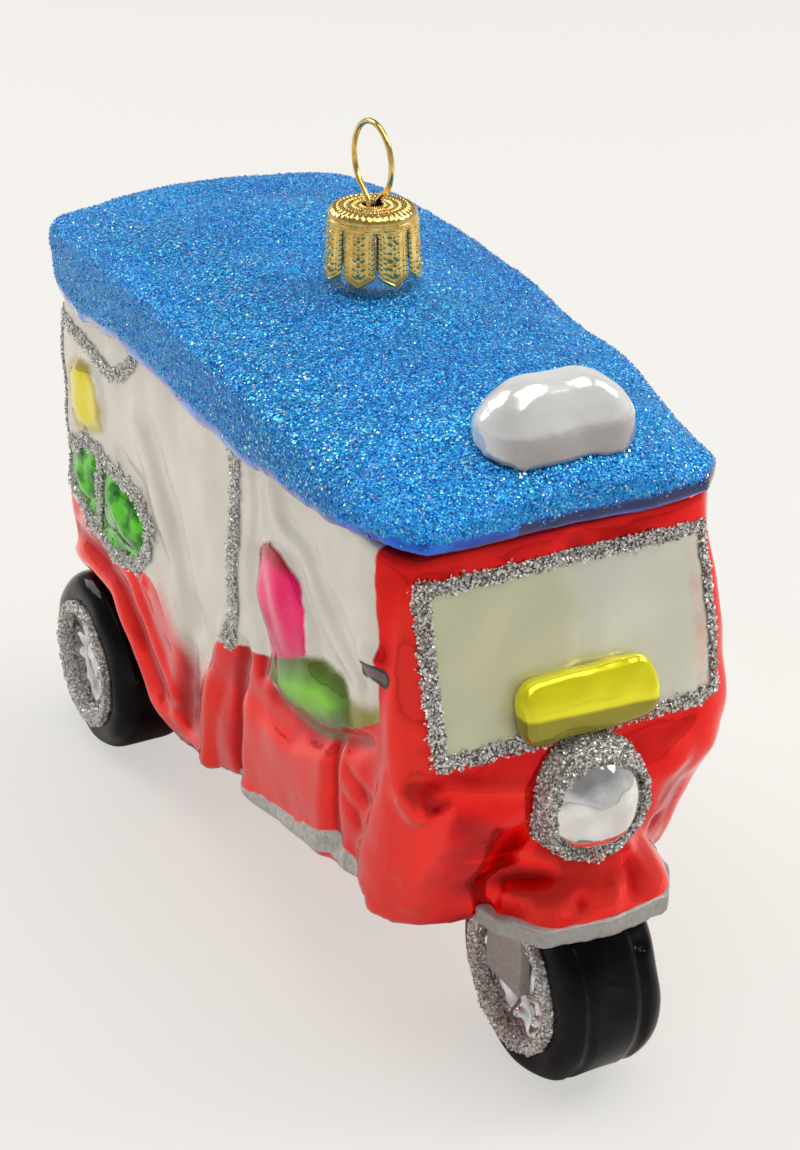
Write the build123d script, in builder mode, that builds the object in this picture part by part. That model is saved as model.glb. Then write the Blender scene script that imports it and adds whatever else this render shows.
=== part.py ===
"""Glass tuk-tuk Christmas ornament, millimetres.

A mould-blown glass three-wheeler, silvered, lacquered in zones and trimmed with glitter,
with a stamped crown cap and a wire hanging loop in its neck. +X is forward, +Y is the
tuk-tuk's left, +Z is up, and z = 0 is the surface under the wheels.
"""

import math
import os

from build123d import *

os.makedirs("parts", exist_ok=True)

# ---- driving dimensions ------------------------------------------------------------

wheel_radius = 14.8
front_axle_x = 53.0
rear_axle_x = -53.0
front_wheel_width = 15.0
rear_wheel_width = 13.0
rear_wheel_outer_y = 26.0
rim_radius = 10.0
tyre_shoulder = 3.2
hub_dish_depth = 1.5
hub_boss_radius = 3.0
wheel_band_half_width = 1.2

belt_z = 44.0
sill_z = 26.0
cowl_z = 50.0
roof_base_z = 77.6
roof_wave = 2.0
body_top_z = 80.6
roof_crown_z = 92.0
screen_slope = 0.2368
screen_foot_x = front_axle_x + 3.1
pillar_x = screen_foot_x - 7.6
apron_rear_x = pillar_x - 4.5
screen_half_width = 19.8
screen_bottom_z = 51.6
screen_top_z = 73.4
screen_glass = 1.5

belly_half_width = rear_wheel_outer_y - rear_wheel_width
arch_clearance = 1.8

coat = 0.8
relief = 1.0
glitter_band = 2.6

cap_x = -1.0
cap_height = 9.8
cap_radius = 6.5
cap_wall = 0.45
cap_petals = 8
cap_point_depth = 1.4
cap_slot_width = 0.45
cap_slot_top = 4.6
cap_hole_radius = 1.5
cap_top_z = 103.5
neck_radius = 4.4
neck_wall = 1.0
neck_seat_gap = 0.1
neck_bore_depth = 12.0

wire_radius = 0.4
wire_gap = 0.1
loop_radius = 5.0
loop_bend = 1.2
loop_lift = 0.22
leg_reach = 2.2
leg_length = 19.0
leg_bend = 10.0

lamp_z = 43.0
lamp_radius = 6.9
lamp_lens_radius = 6.6
lamp_nose = 3.4
lamp_front_x = screen_foot_x + 4.1
lamp_band = 1.8

sign_x = screen_foot_x - 12.5
sign_y = 1.8
sign_length = 11.6
sign_width = 21.6
sign_crown_z = 94.6

SIDES = (("right", -1), ("left", 1))

# Horizontal sections of the whole body below the roof: height, rear x, front x,
# half width, rear corner radius, front corner radius on the right, and on the left,
# where the cheek is drawn in
BODY_SECTIONS = (
    (6.0, -61.5, screen_foot_x - 6.1, 23.2, 7.0, 11.0, 20.0),
    (sill_z, -62.5, screen_foot_x - 2.9, 24.4, 6.0, 11.0, 21.0),
    (belt_z, -63.0, screen_foot_x + 2.0, 24.8, 5.0, 9.0, 13.0),
    (cowl_z, -62.4, screen_foot_x, 24.6, 5.0, 7.0, 8.5),
    (body_top_z, -61.8, screen_foot_x - screen_slope * (body_top_z - cowl_z), 24.2, 5.0, 6.0, 6.0),
)

# Cross sections of the roof: x, half width, side height, crown height, underside height
ROOF_SECTIONS = (
    (-63.0, 22.6, 86.0, 88.0, 79.5),
    (-58.0, 25.8, 88.5, 91.0, roof_base_z),
    (-40.0, 27.0, 89.4, 92.0, roof_base_z + roof_wave),
    (-24.0, 27.3, 88.8, 92.0, roof_base_z),
    (cap_x, 27.2, 87.2, roof_crown_z, roof_base_z),
    (22.0, 26.6, 85.2, 90.7, roof_base_z + roof_wave),
    (38.0, 25.4, 82.4, 88.4, roof_base_z + roof_wave),
    (screen_foot_x - 8.6, 24.3, 81.0, 86.4, roof_base_z),
    (screen_foot_x - 4.1, 20.6, 79.7, 83.2, roof_base_z),
)

# Far enough behind to clear the tail
behind_x = rear_axle_x - 17.0

# Underside of the painted body seen from the side: x, z
UNDERSIDE = (
    (behind_x, 22.0),
    (-60.0, 20.0),
    (-28.0, 16.8),
    (-18.0, 17.3),
    (5.5, 23.2),
    (14.0, 23.0),
    (28.0, 26.6),
    (apron_rear_x, 28.5),
)

# Top edge of the red lacquer along the side: x, z
BELT = (
    (behind_x, 42.0),
    (-25.0, belt_z),
    (4.0, 45.0),
    (28.0, 48.0),
    (apron_rear_x, 51.0),
    (pillar_x, 52.0),
)

# Edge of the rear wheel arch, ahead of and above the axle, as shares of its radius
ARCH_EDGE = (
    (-1.02, 0.55),
    (-0.54, 0.86),
    (0.0, 1.0),
    (0.38, 1.04),
    (0.67, 0.92),
    (0.90, 0.68),
    (1.16, 0.40),
    (1.50, 0.07),
)
arch_radius = wheel_radius + arch_clearance
arch_line = [(rear_axle_x + ahead * arch_radius, wheel_radius + up * arch_radius) for ahead, up in ARCH_EDGE]
ARCH = ((arch_line[0][0], 0.0), *arch_line, (arch_line[-1][0], 0.0))

# Half outlines of the front mudguard: height over the axle, then distance ahead of the
# axle and off the centre line of each corner from the cheek to the nose
MUDGUARD_CORNERS = (
    (11.4, 14.8, ((4.6, 11.8), (9.6, 8.2), (11.0, 0.0))),
    (17.2, 12.8, ((3.6, 10.4), (8.8, 6.4), (10.0, 0.0))),
    (24.2, 9.0, ((2.0, 7.0), (6.0, 4.0), (7.0, 0.0))),
)
mudguard_rear_x = pillar_x - 2.5
MUDGUARD_SECTIONS = [
    (wheel_radius + rise, [(mudguard_rear_x, rear_y), *((front_axle_x + ahead, y) for ahead, y in corners)])
    for rise, rear_y, corners in MUDGUARD_CORNERS
]


# ---- shared forms ------------------------------------------------------------------


def body_form(grow=0.0):
    """The closed body below the roof, with its skin moved out by grow."""
    with BuildPart() as form:
        for height, rear, front, half, rear_round, right_round, left_round in BODY_SECTIONS:
            with BuildSketch(Plane.XY.offset(height)) as plan:
                with Locations(((rear + front) / 2, 0)):
                    Rectangle(front - rear + 2 * grow, 2 * (half + grow))
                fillet(plan.vertices().group_by(Axis.X)[0], rear_round + grow)
                fillet(plan.vertices().group_by(Axis.X)[-1].sort_by(Axis.Y)[0], right_round + grow)
                fillet(plan.vertices().group_by(Axis.X)[-1].sort_by(Axis.Y)[-1], left_round + grow)
        loft(ruled=True)
    return form.part


def side_prism(points, near=0.0, far=40.0):
    """An XZ outline carried out to both sides, between two distances from the centre."""
    with BuildPart() as prism:
        with BuildSketch(Plane.XZ):
            with BuildLine():
                Polyline(*points, close=True)
            make_face()
        extrude(amount=far, both=True)
        if near > 0:
            with BuildSketch(Plane.XZ):
                with BuildLine():
                    Polyline(*points, close=True)
                make_face()
            extrude(amount=near, both=True, mode=Mode.SUBTRACT)
    return prism.part


def band_face(points, width):
    """Fill the open sketch with a round-ended band that follows the points."""
    for start, end in zip(points, points[1:]):
        run = (Vector(*end) - Vector(*start)).length
        turn = math.degrees(math.atan2(end[1] - start[1], end[0] - start[0]))
        middle = ((start[0] + end[0]) / 2, (start[1] + end[1]) / 2)
        with Locations(middle):
            SlotCenterToCenter(run, width, rotation=turn)


def save(part, name):
    """Label a finished piece and write its STEP file."""
    part.label = name
    export_step(part, f"parts/{name}.step")


body = body_form()
body_coat = body_form(coat)
body_relief = body_form(relief)

# Outward-facing plane of the windscreen, its Y axis running up the glass
screen_mid_z = (screen_bottom_z + screen_top_z) / 2
screen_mid_x = screen_foot_x - screen_slope * (screen_mid_z - cowl_z)
screen_length = (screen_top_z - screen_bottom_z) * math.hypot(1, screen_slope)
SCREEN = Plane(
    origin=(screen_mid_x, 0, screen_mid_z),
    x_dir=(0, 1, 0),
    z_dir=(1, 0, screen_slope),
)

# ---- wheels ------------------------------------------------------------------------


def wheel_parts(axle_x, outer_y, inner_y):
    """Tyre and hub, turned about the axle, between two distances along Y."""
    axle = Axis((axle_x, 0, wheel_radius), (0, 1, 0))
    out = 1 if outer_y > inner_y else -1
    rim_x = axle_x + rim_radius
    tread_x = axle_x + wheel_radius
    with BuildPart() as tyre:
        with BuildSketch(Plane.XY.offset(wheel_radius)) as profile:
            with Locations(((rim_x + tread_x) / 2, (outer_y + inner_y) / 2)):
                Rectangle(tread_x - rim_x, abs(outer_y - inner_y))
            fillet(profile.vertices().group_by(Axis.X)[-1], tyre_shoulder)
        revolve(axis=axle)
    with BuildPart() as hub:
        with BuildSketch(Plane.XY.offset(wheel_radius)):
            with BuildLine():
                Polyline(
                    (axle_x, inner_y),
                    (rim_x, inner_y),
                    (rim_x, outer_y - out * 0.6),
                    (rim_x - 1.6, outer_y - out * hub_dish_depth),
                    (axle_x + hub_boss_radius + 1.0, outer_y - out * 2 * hub_dish_depth),
                    (axle_x + hub_boss_radius, outer_y - out * hub_dish_depth),
                    (axle_x, outer_y - out * hub_dish_depth),
                    close=True,
                )
            make_face()
        revolve(axis=axle)
    return tyre.part, hub.part


def wheel_band(axle_x, face_y, out):
    """Ring of glitter on the rim, standing one coat proud of the tyre's side."""
    with BuildPart() as ring:
        with BuildSketch(Plane.XZ.offset(-face_y)):
            with Locations((axle_x, wheel_radius)):
                Circle(rim_radius + wheel_band_half_width)
                Circle(rim_radius - wheel_band_half_width, mode=Mode.SUBTRACT)
        extrude(amount=-out * coat)
    return ring.part


def wheel_band_root(axle_x, face_y, out):
    """The same ring's root, reaching back over the rim to the hub's dished face."""
    with BuildPart() as ring:
        with BuildSketch(Plane.XZ.offset(-face_y)):
            with Locations((axle_x, wheel_radius)):
                Circle(rim_radius)
                Circle(rim_radius - wheel_band_half_width, mode=Mode.SUBTRACT)
        extrude(amount=out * 2 * hub_dish_depth)
    return ring.part


half_front = front_wheel_width / 2
front_tyre, _ = wheel_parts(front_axle_x, half_front, -half_front)
save(front_tyre, "front_tyre")

front_hubs = []
for side, out in SIDES:
    _, hub = wheel_parts(front_axle_x, out * half_front, 0.0)
    front_hubs.append(hub)
    save(hub, f"front_hub_{side}")

rear_wheels = []
for side, out in SIDES:
    inner_y = out * belly_half_width
    tyre, hub = wheel_parts(rear_axle_x, out * rear_wheel_outer_y, inner_y)
    rear_wheels.append((tyre, hub))
    save(tyre, f"rear_tyre_{side}")
    save(hub, f"rear_hub_{side}")

for index, (side, out) in enumerate(SIDES):
    tyre, hub = rear_wheels[index]
    for name, axle_x, face_y, carriers in (
        ("front", front_axle_x, out * half_front, (front_tyre, front_hubs[index])),
        ("rear", rear_axle_x, out * rear_wheel_outer_y, (tyre, hub)),
    ):
        rim = wheel_band(axle_x, face_y, out)
        root = wheel_band_root(axle_x, face_y, out)
        with BuildPart() as band:
            add(rim)
            add(root)
            for carrier in carriers:
                add(carrier, mode=Mode.SUBTRACT)
        save(band.part, f"{name}_wheel_glitter_{side}")

# ---- roof, neck and body zones -----------------------------------------------------


def roof_form():
    """Boxy arched roof, lofted through its cross sections."""
    with BuildPart() as form:
        for x, half, side_z, crown_z, base_z in ROOF_SECTIONS:
            with BuildSketch(Plane.YZ.offset(x)) as section:
                with BuildLine():
                    Polyline((-half, side_z), (-half, base_z), (half, base_z), (half, side_z))
                    ThreePointArc((half, side_z), (0, crown_z), (-half, side_z))
                make_face()
                top_corners = section.vertices().group_by(Axis.Y)[-1]
                fillet(top_corners, 2.6)
        loft(ruled=True)
    return form.part


roof_shape = roof_form()
neck_inner = neck_radius - neck_wall
neck_top_z = cap_top_z - cap_wall - neck_seat_gap
neck_foot_z = roof_crown_z - 3.0

with BuildPart() as neck_bore:
    with BuildSketch(Plane.XY.offset(roof_crown_z - neck_bore_depth)):
        with Locations((cap_x, 0)):
            Circle(neck_inner)
    extrude(amount=neck_top_z - roof_crown_z + neck_bore_depth)

with BuildPart() as neck:
    with BuildSketch(Plane.XY.offset(neck_foot_z)):
        with Locations((cap_x, 0)):
            Circle(neck_radius)
            Circle(neck_inner, mode=Mode.SUBTRACT)
    extrude(amount=neck_top_z - neck_foot_z)
    add(roof_shape, mode=Mode.SUBTRACT)
save(neck.part, "neck_glass")

with BuildPart() as roof:
    add(roof_shape)
    add(neck_bore.part, mode=Mode.SUBTRACT)
save(roof.part, "roof_glass")

belt_front = (pillar_x, BELT[-1][1])
with BuildPart() as cabin:
    add(body)
    add(side_prism((*BELT, (pillar_x, body_top_z), (behind_x, body_top_z))), mode=Mode.INTERSECT)
    add(roof_shape, mode=Mode.SUBTRACT)
save(cabin.part, "cabin_glass")

with BuildPart() as screen_block:
    with BuildSketch(SCREEN.offset(-screen_glass)):
        Rectangle(2 * screen_half_width, screen_length)
    extrude(amount=screen_glass + 4.0)

with BuildPart() as windscreen:
    add(body)
    add(screen_block.part, mode=Mode.INTERSECT)
save(windscreen.part, "windscreen_glass")

# Far enough ahead to clear every part of the nose
ahead_x = front_axle_x + 25.0
frame_outline = ((pillar_x, cowl_z), (pillar_x, body_top_z), (ahead_x, body_top_z), (ahead_x, cowl_z))
with BuildPart() as front_frame:
    add(body)
    add(side_prism(frame_outline), mode=Mode.INTERSECT)
    add(screen_block.part, mode=Mode.SUBTRACT)
    add(roof_shape, mode=Mode.SUBTRACT)
save(front_frame.part, "front_frame_glass")

with BuildPart() as front_wheel_block:
    with BuildSketch(Plane.XZ):
        with Locations((front_axle_x, wheel_radius)):
            Circle(wheel_radius)
    extrude(amount=half_front + coat, both=True)

apron_outline = (
    (apron_rear_x, sill_z),
    (apron_rear_x, BELT[-2][1]),
    belt_front,
    (pillar_x, cowl_z),
    (ahead_x, cowl_z),
    (ahead_x, sill_z - 0.8),
    (apron_rear_x + 3.0, sill_z - 0.8),
)
with BuildPart() as apron:
    add(body)
    add(side_prism(apron_outline), mode=Mode.INTERSECT)
    add(front_wheel_block.part, mode=Mode.SUBTRACT)
save(apron.part, "front_apron_glass")

lower_outline = (*UNDERSIDE, (apron_rear_x, BELT[-2][1]), *reversed(BELT[:-2]))
with BuildPart() as lower:
    add(body)
    add(side_prism(lower_outline), mode=Mode.INTERSECT)
    add(side_prism(ARCH, near=belly_half_width), mode=Mode.SUBTRACT)
save(lower.part, "lower_body_glass")

belly_rear_x = BODY_SECTIONS[0][1]
belly_front_x = rear_axle_x + rim_radius + 6.0
belly_top_z = wheel_radius + 25.0
belly_drop = 6.0
belly_outline = (
    (belly_rear_x, wheel_radius),
    (belly_rear_x, belly_top_z),
    (belly_front_x, belly_top_z),
    (belly_front_x, wheel_radius),
    (rear_axle_x + belly_drop, wheel_radius - belly_drop),
    (rear_axle_x - belly_drop, wheel_radius - belly_drop),
)
with BuildPart() as belly:
    with BuildSketch(Plane.XZ):
        with BuildLine():
            Polyline(*belly_outline, close=True)
        make_face()
    extrude(amount=belly_half_width, both=True)
    add(lower.part, mode=Mode.SUBTRACT)
    add(cabin.part, mode=Mode.SUBTRACT)
save(belly.part, "belly_glass")

# ---- nose: mudguard, its lip and the fork plates -----------------------------------


def mudguard_outline(half_points, outset=0.0):
    """Both halves of a mudguard section, moved out by outset."""
    right = [(x + outset, -y - outset) for x, y in half_points[:-1]]
    left = [(x + outset, y + outset) for x, y in half_points[:-1]]
    nose_x = half_points[-1][0] + outset
    rear_x = half_points[0][0]
    right[0] = (rear_x, right[0][1])
    left[0] = (rear_x, left[0][1])
    return [*right, (nose_x, 0.0), *reversed(left)]


# The mudguard and its lip stop at this plane, against the cheeks
cheek_plane = Plane.YZ.offset(pillar_x + 1.0)

with BuildPart() as mudguard_shape:
    for height, half_points in MUDGUARD_SECTIONS:
        with BuildSketch(Plane.XY.offset(height)):
            with BuildLine():
                Polyline(*mudguard_outline(half_points), close=True)
            make_face()
    loft(ruled=True)

with BuildPart() as mudguard:
    add(mudguard_shape.part)
    add(apron.part, mode=Mode.SUBTRACT)
    add(front_wheel_block.part, mode=Mode.SUBTRACT)
    split(bisect_by=cheek_plane, keep=Keep.TOP)
save(mudguard.part, "front_mudguard_glass")

lip_height = 2.6
lip_z = MUDGUARD_SECTIONS[0][0]
with BuildPart() as lip:
    with BuildSketch(Plane.XY.offset(lip_z)):
        with BuildLine():
            Polyline(*mudguard_outline(MUDGUARD_SECTIONS[0][1], relief), close=True)
        make_face()
    extrude(amount=lip_height)
    add(mudguard_shape.part, mode=Mode.SUBTRACT)
    add(body, mode=Mode.SUBTRACT)
    add(front_wheel_block.part, mode=Mode.SUBTRACT)
    split(bisect_by=cheek_plane, keep=Keep.TOP)
save(lip.part, "mudguard_lip_trim")

fork_width = 4.6
fork_top_z = wheel_radius + rim_radius - wheel_band_half_width - 0.8
for index, (side, out) in enumerate(SIDES):
    face_y = out * (half_front - hub_dish_depth)
    with BuildPart() as fork:
        with BuildSketch(Plane.XZ.offset(-face_y)):
            with Locations((front_axle_x - 0.6, wheel_radius)):
                Rectangle(fork_width, fork_top_z - wheel_radius, align=(Align.CENTER, Align.MIN))
        extrude(amount=-out * (hub_dish_depth + 0.3))
        add(front_hubs[index], mode=Mode.SUBTRACT)
    save(fork.part, f"fork_plate_{side}")

# ---- lamp, sign and plate ----------------------------------------------------------

with BuildPart() as lamp_shape:
    with BuildSketch(Plane.XZ):
        with BuildLine():
            Polyline(
                (lamp_front_x, lamp_z + lamp_lens_radius),
                (lamp_front_x, lamp_z + lamp_radius),
                (pillar_x, lamp_z + lamp_radius),
                (pillar_x, lamp_z),
                (lamp_front_x + lamp_nose, lamp_z),
            )
            RadiusArc(
                (lamp_front_x + lamp_nose, lamp_z),
                (lamp_front_x, lamp_z + lamp_lens_radius),
                -(lamp_lens_radius**2 + lamp_nose**2) / (2 * lamp_nose),
            )
        make_face()
    revolve(axis=Axis((0, 0, lamp_z), (1, 0, 0)))

with BuildPart() as lamp:
    add(lamp_shape.part)
    add(body, mode=Mode.SUBTRACT)
    add(mudguard.part, mode=Mode.SUBTRACT)
save(lamp.part, "headlamp_glass")

# The ring of glitter hugs the barrel and narrows towards the lens
with BuildPart() as lamp_band_ring:
    with BuildSketch(Plane.XZ):
        with BuildLine():
            Polyline(
                (pillar_x, lamp_z + lamp_lens_radius),
                (pillar_x, lamp_z + lamp_radius + lamp_band),
                (screen_foot_x, lamp_z + lamp_radius + lamp_band),
                (lamp_front_x + coat, lamp_z + lamp_radius + 0.5),
                (lamp_front_x + coat, lamp_z + lamp_lens_radius),
                close=True,
            )
        make_face()
    revolve(axis=Axis((0, 0, lamp_z), (1, 0, 0)))
    add(lamp_shape.part, mode=Mode.SUBTRACT)
    add(body, mode=Mode.SUBTRACT)
    add(mudguard.part, mode=Mode.SUBTRACT)
save(lamp_band_ring.part, "headlamp_glitter_ring")

sign_base_z = roof_base_z + 3.0
with BuildPart() as sign:
    for height, length, width, corner in (
        (sign_base_z, sign_length, sign_width, 4.5),
        (sign_crown_z - 5.0, sign_length - 0.6, sign_width - 1.0, 4.5),
        (sign_crown_z - 2.2, sign_length - 2.8, sign_width - 4.4, 3.6),
        (sign_crown_z - 0.7, sign_length - 5.2, sign_width - 8.6, 2.6),
        (sign_crown_z, sign_length - 8.0, sign_width - 13.0, 1.4),
    ):
        with BuildSketch(Plane.XY.offset(height)):
            with Locations((sign_x, sign_y)):
                RectangleRounded(length, width, corner)
    loft(ruled=True)
    add(roof_shape, mode=Mode.SUBTRACT)
save(sign.part, "roof_sign_glass")

plate_y = 0.5
plate_width = 19.6
plate_height = 8.6
plate_corner = 2.8
plate_thickness = 2.6
plate_round = 1.2
plate_lift = (plate_height - screen_length) / 2
with BuildPart() as plate:
    with BuildSketch(SCREEN):
        with Locations((plate_y, plate_lift)):
            RectangleRounded(plate_width, plate_height, plate_corner)
    extrude(amount=plate_thickness)
    fillet(plate.faces().sort_by(Axis.X)[-1].edges(), plate_round)
save(plate.part, "dash_plate_glass")

# ---- glitter and relief on the body ------------------------------------------------

# Side reliefs are drawn this far off the centre line and cut through the skin from there
relief_root_y = 18.0
relief_reach = 12.0
screen_band_depth = 9.0

with BuildPart() as screen_band:
    with BuildSketch(SCREEN.offset(-screen_band_depth)):
        Rectangle(2 * screen_half_width + glitter_band, screen_length + glitter_band)
        Rectangle(2 * screen_half_width - glitter_band, screen_length - glitter_band, mode=Mode.SUBTRACT)
    extrude(amount=screen_band_depth + 4.0)
    add(body_coat, mode=Mode.INTERSECT)
    add(body, mode=Mode.SUBTRACT)
    add(lamp.part, mode=Mode.SUBTRACT)
    add(lamp_band_ring.part, mode=Mode.SUBTRACT)
    add(plate.part, mode=Mode.SUBTRACT)
save(screen_band.part, "windscreen_glitter_frame")


def side_relief(points, width, skin, name, rounded=0.0):
    """Lay a raised shape on both sides: a band along points, or a pad inside them."""
    for side, out in SIDES:
        with BuildPart() as piece:
            with BuildSketch(Plane.XZ.offset(-out * relief_root_y)) as face:
                if width > 0:
                    band_face(points, width)
                else:
                    with BuildLine():
                        Polyline(*points, close=True)
                    make_face()
                    fillet(face.vertices(), rounded)
            extrude(amount=-out * relief_reach)
            add(skin, mode=Mode.INTERSECT)
            add(body, mode=Mode.SUBTRACT)
        save(piece.part, f"{name}_{side}")


SIDE_BANDS = (
    # name, width, then x and z of each point along the band
    ("side_post_glitter", 2.6, ((7.0, 46.5), (6.6, 60.0), (7.4, roof_base_z - 1.0))),
    ("rear_hook_glitter", 2.0, ((-57.0, 71.5), (-50.0, 69.5), (-42.0, 70.0), (-34.0, 75.0))),
    ("rear_post_glitter", 1.6, ((-60.6, 74.0), (-60.6, 56.0))),
    (
        "rear_rail_glitter",
        2.4,
        (
            (-59.5, 52.5),
            (-48.0, 55.5),
            (-36.0, 55.5),
            (-27.0, 53.0),
            (-23.5, 48.0),
            (-25.0, 42.5),
            (-32.0, 41.5),
            (-43.0, 42.5),
            (-56.0, 44.0),
            (-59.5, 48.0),
            (-59.5, 52.5),
        ),
    ),
)
driver_seat_x = pillar_x - 18.5
passenger_seat_x = rear_axle_x + 5.0
SIDE_PADS = (
    # name, corner radius, x of its seat, then the corners: x from the seat, and z
    (
        "driver_backrest",
        1.6,
        driver_seat_x,
        ((-16.0, 59.0), (-12.5, 66.5), (-7.0, 67.6), (0.6, 61.0), (1.2, 56.5), (-10.0, 51.8)),
    ),
    (
        "driver_cushion",
        1.2,
        driver_seat_x,
        ((-11.5, 50.6), (-2.0, 54.6), (17.0, 57.0), (15.0, 52.6), (3.0, 47.2), (-9.0, 46.0)),
    ),
    (
        "passenger_backrest",
        1.4,
        passenger_seat_x,
        ((-6.5, 65.0), (-2.5, 67.6), (6.0, 68.4), (5.8, 60.6), (-2.0, 58.4), (-7.0, 59.4)),
    ),
    (
        "passenger_cushion_rear",
        1.0,
        passenger_seat_x,
        ((-6.0, 52.0), (1.4, 53.4), (1.4, 46.6), (-6.0, 46.4)),
    ),
    (
        "passenger_cushion_front",
        1.2,
        passenger_seat_x,
        ((6.6, 52.6), (17.0, 52.2), (20.8, 49.4), (18.6, 45.6), (6.6, 45.6)),
    ),
)

for name, width, points in SIDE_BANDS:
    side_relief(points, width, body_coat, name)
for name, corner, seat_x, corners in SIDE_PADS:
    points = [(seat_x + ahead, z) for ahead, z in corners]
    side_relief(points, 0.0, body_relief, name, corner)
grip_line = ((pillar_x - 4.5, 63.0), (pillar_x - 1.3, 63.6))
side_relief(grip_line, 1.8, body_relief, "handlebar_grip")
sill_line = ((6.5, 24.6), (15.0, 24.4), (29.0, 28.0), (apron_rear_x - 4.0, 30.2))
side_relief(sill_line, 1.8, body_coat, "sill_line_trim")

turn_lamp_radius = 2.8
for side, lamp_y in (("right", -21.4), ("left", 18.8)):
    with BuildPart() as turn_lamp:
        with Locations((screen_foot_x - 1.2, lamp_y, cowl_z - 3.2)):
            Sphere(turn_lamp_radius)
        add(body, mode=Mode.SUBTRACT)
        add(screen_band.part, mode=Mode.SUBTRACT)
    save(turn_lamp.part, f"turn_lamp_glass_{side}")

# ---- crown cap ---------------------------------------------------------------------

cap_skirt_z = cap_top_z - cap_height
shoulder = 1.3
with BuildPart() as cap:
    with BuildSketch(Plane.XZ):
        with BuildLine():
            Polyline(
                (cap_x + cap_hole_radius, cap_top_z - cap_wall),
                (cap_x + cap_hole_radius, cap_top_z),
                (cap_x + cap_radius - 0.4 - shoulder, cap_top_z),
                (cap_x + cap_radius - 0.4, cap_top_z - shoulder),
                (cap_x + cap_radius, cap_skirt_z),
                (cap_x + cap_radius - cap_wall, cap_skirt_z),
                (cap_x + cap_radius - 0.4 - cap_wall, cap_top_z - shoulder - cap_wall / 2),
                (cap_x + cap_radius - 0.4 - shoulder - cap_wall / 2, cap_top_z - cap_wall),
                close=True,
            )
        make_face()
    revolve(axis=Axis((cap_x, 0, 0), (0, 0, 1)))
    petal_turn = 360.0 / cap_petals
    petal_half = cap_radius * math.tan(math.radians(petal_turn / 2))
    for petal in range(cap_petals):
        turn = math.radians(petal_turn * (petal + 0.5))
        gap_plane = Plane(
            origin=(cap_x, 0, cap_skirt_z),
            x_dir=(-math.sin(turn), math.cos(turn), 0),
            z_dir=(math.cos(turn), math.sin(turn), 0),
        )
        with BuildSketch(gap_plane):
            with BuildLine():
                Polyline(
                    (-petal_half, -0.2),
                    (petal_half, -0.2),
                    (cap_slot_width / 2, cap_point_depth),
                    (cap_slot_width / 2, cap_slot_top),
                    (-cap_slot_width / 2, cap_slot_top),
                    (-cap_slot_width / 2, cap_point_depth),
                    close=True,
                )
            make_face()
        extrude(amount=cap_radius + 2.0, mode=Mode.SUBTRACT)
save(cap.part, "gold_cap")

# ---- hanging wire ------------------------------------------------------------------

loop_z = cap_top_z + loop_lift + loop_bend + loop_radius
strand_x = wire_radius + wire_gap / 2
bend_x = strand_x + loop_bend
bend_drop = math.sqrt((loop_radius + loop_bend) ** 2 - bend_x**2)
share = loop_radius / (loop_radius + loop_bend)
bend_z = loop_z - bend_drop
touch_x = bend_x * share
touch_z = loop_z - bend_drop * share
turn_in = math.atan2(touch_z - bend_z, bend_x - touch_x) / 2
bend_mid_x = bend_x - loop_bend * math.cos(turn_in)
bend_mid_z = bend_z + loop_bend * math.sin(turn_in)
leg_foot_z = cap_top_z - leg_length
leg_knee_z = cap_top_z - cap_wall - 2.0

with BuildPart() as hanger:
    with BuildLine(Plane.XZ.shift_origin((cap_x, 0, 0))) as path:
        FilletPolyline((-leg_reach, leg_foot_z), (-strand_x, leg_knee_z), (-strand_x, bend_z), radius=leg_bend)
        ThreePointArc((-strand_x, bend_z), (-bend_mid_x, bend_mid_z), (-touch_x, touch_z))
        ThreePointArc((-touch_x, touch_z), (0, loop_z + loop_radius), (touch_x, touch_z))
        ThreePointArc((touch_x, touch_z), (bend_mid_x, bend_mid_z), (strand_x, bend_z))
        FilletPolyline((strand_x, bend_z), (strand_x, leg_knee_z), (leg_reach, leg_foot_z), radius=leg_bend)
    with BuildSketch(Plane(origin=path.line @ 0, z_dir=path.line % 0)):
        Circle(wire_radius)
    sweep(path=path.line)
save(hanger.part, "hanger_wire")
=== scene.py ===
"""Looks of the blown-glass tuk-tuk ornament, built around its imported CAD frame.

Lengths are in millimetres, and turn into metres where they meet Blender.
"""

import math

import bmesh
import bpy
import numpy as np
from mathutils import Matrix, Vector, noise


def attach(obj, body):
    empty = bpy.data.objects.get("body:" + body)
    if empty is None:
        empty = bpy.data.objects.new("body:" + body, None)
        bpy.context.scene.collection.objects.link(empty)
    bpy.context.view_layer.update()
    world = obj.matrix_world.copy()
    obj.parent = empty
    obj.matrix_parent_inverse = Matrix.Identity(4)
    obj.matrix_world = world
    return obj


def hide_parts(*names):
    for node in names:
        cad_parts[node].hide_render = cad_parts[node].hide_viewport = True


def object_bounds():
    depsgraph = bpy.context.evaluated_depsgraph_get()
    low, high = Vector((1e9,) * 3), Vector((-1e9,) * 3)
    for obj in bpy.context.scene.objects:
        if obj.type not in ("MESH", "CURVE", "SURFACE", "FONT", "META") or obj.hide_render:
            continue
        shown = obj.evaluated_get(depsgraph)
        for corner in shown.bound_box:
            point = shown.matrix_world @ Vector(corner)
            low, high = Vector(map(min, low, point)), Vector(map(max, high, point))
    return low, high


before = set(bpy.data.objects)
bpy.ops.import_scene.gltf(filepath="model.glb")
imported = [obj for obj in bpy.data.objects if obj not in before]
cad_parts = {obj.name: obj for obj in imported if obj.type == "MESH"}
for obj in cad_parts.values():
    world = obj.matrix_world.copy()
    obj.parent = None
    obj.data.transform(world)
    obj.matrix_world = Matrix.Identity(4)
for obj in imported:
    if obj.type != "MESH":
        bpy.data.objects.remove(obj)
cad_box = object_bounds()

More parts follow.
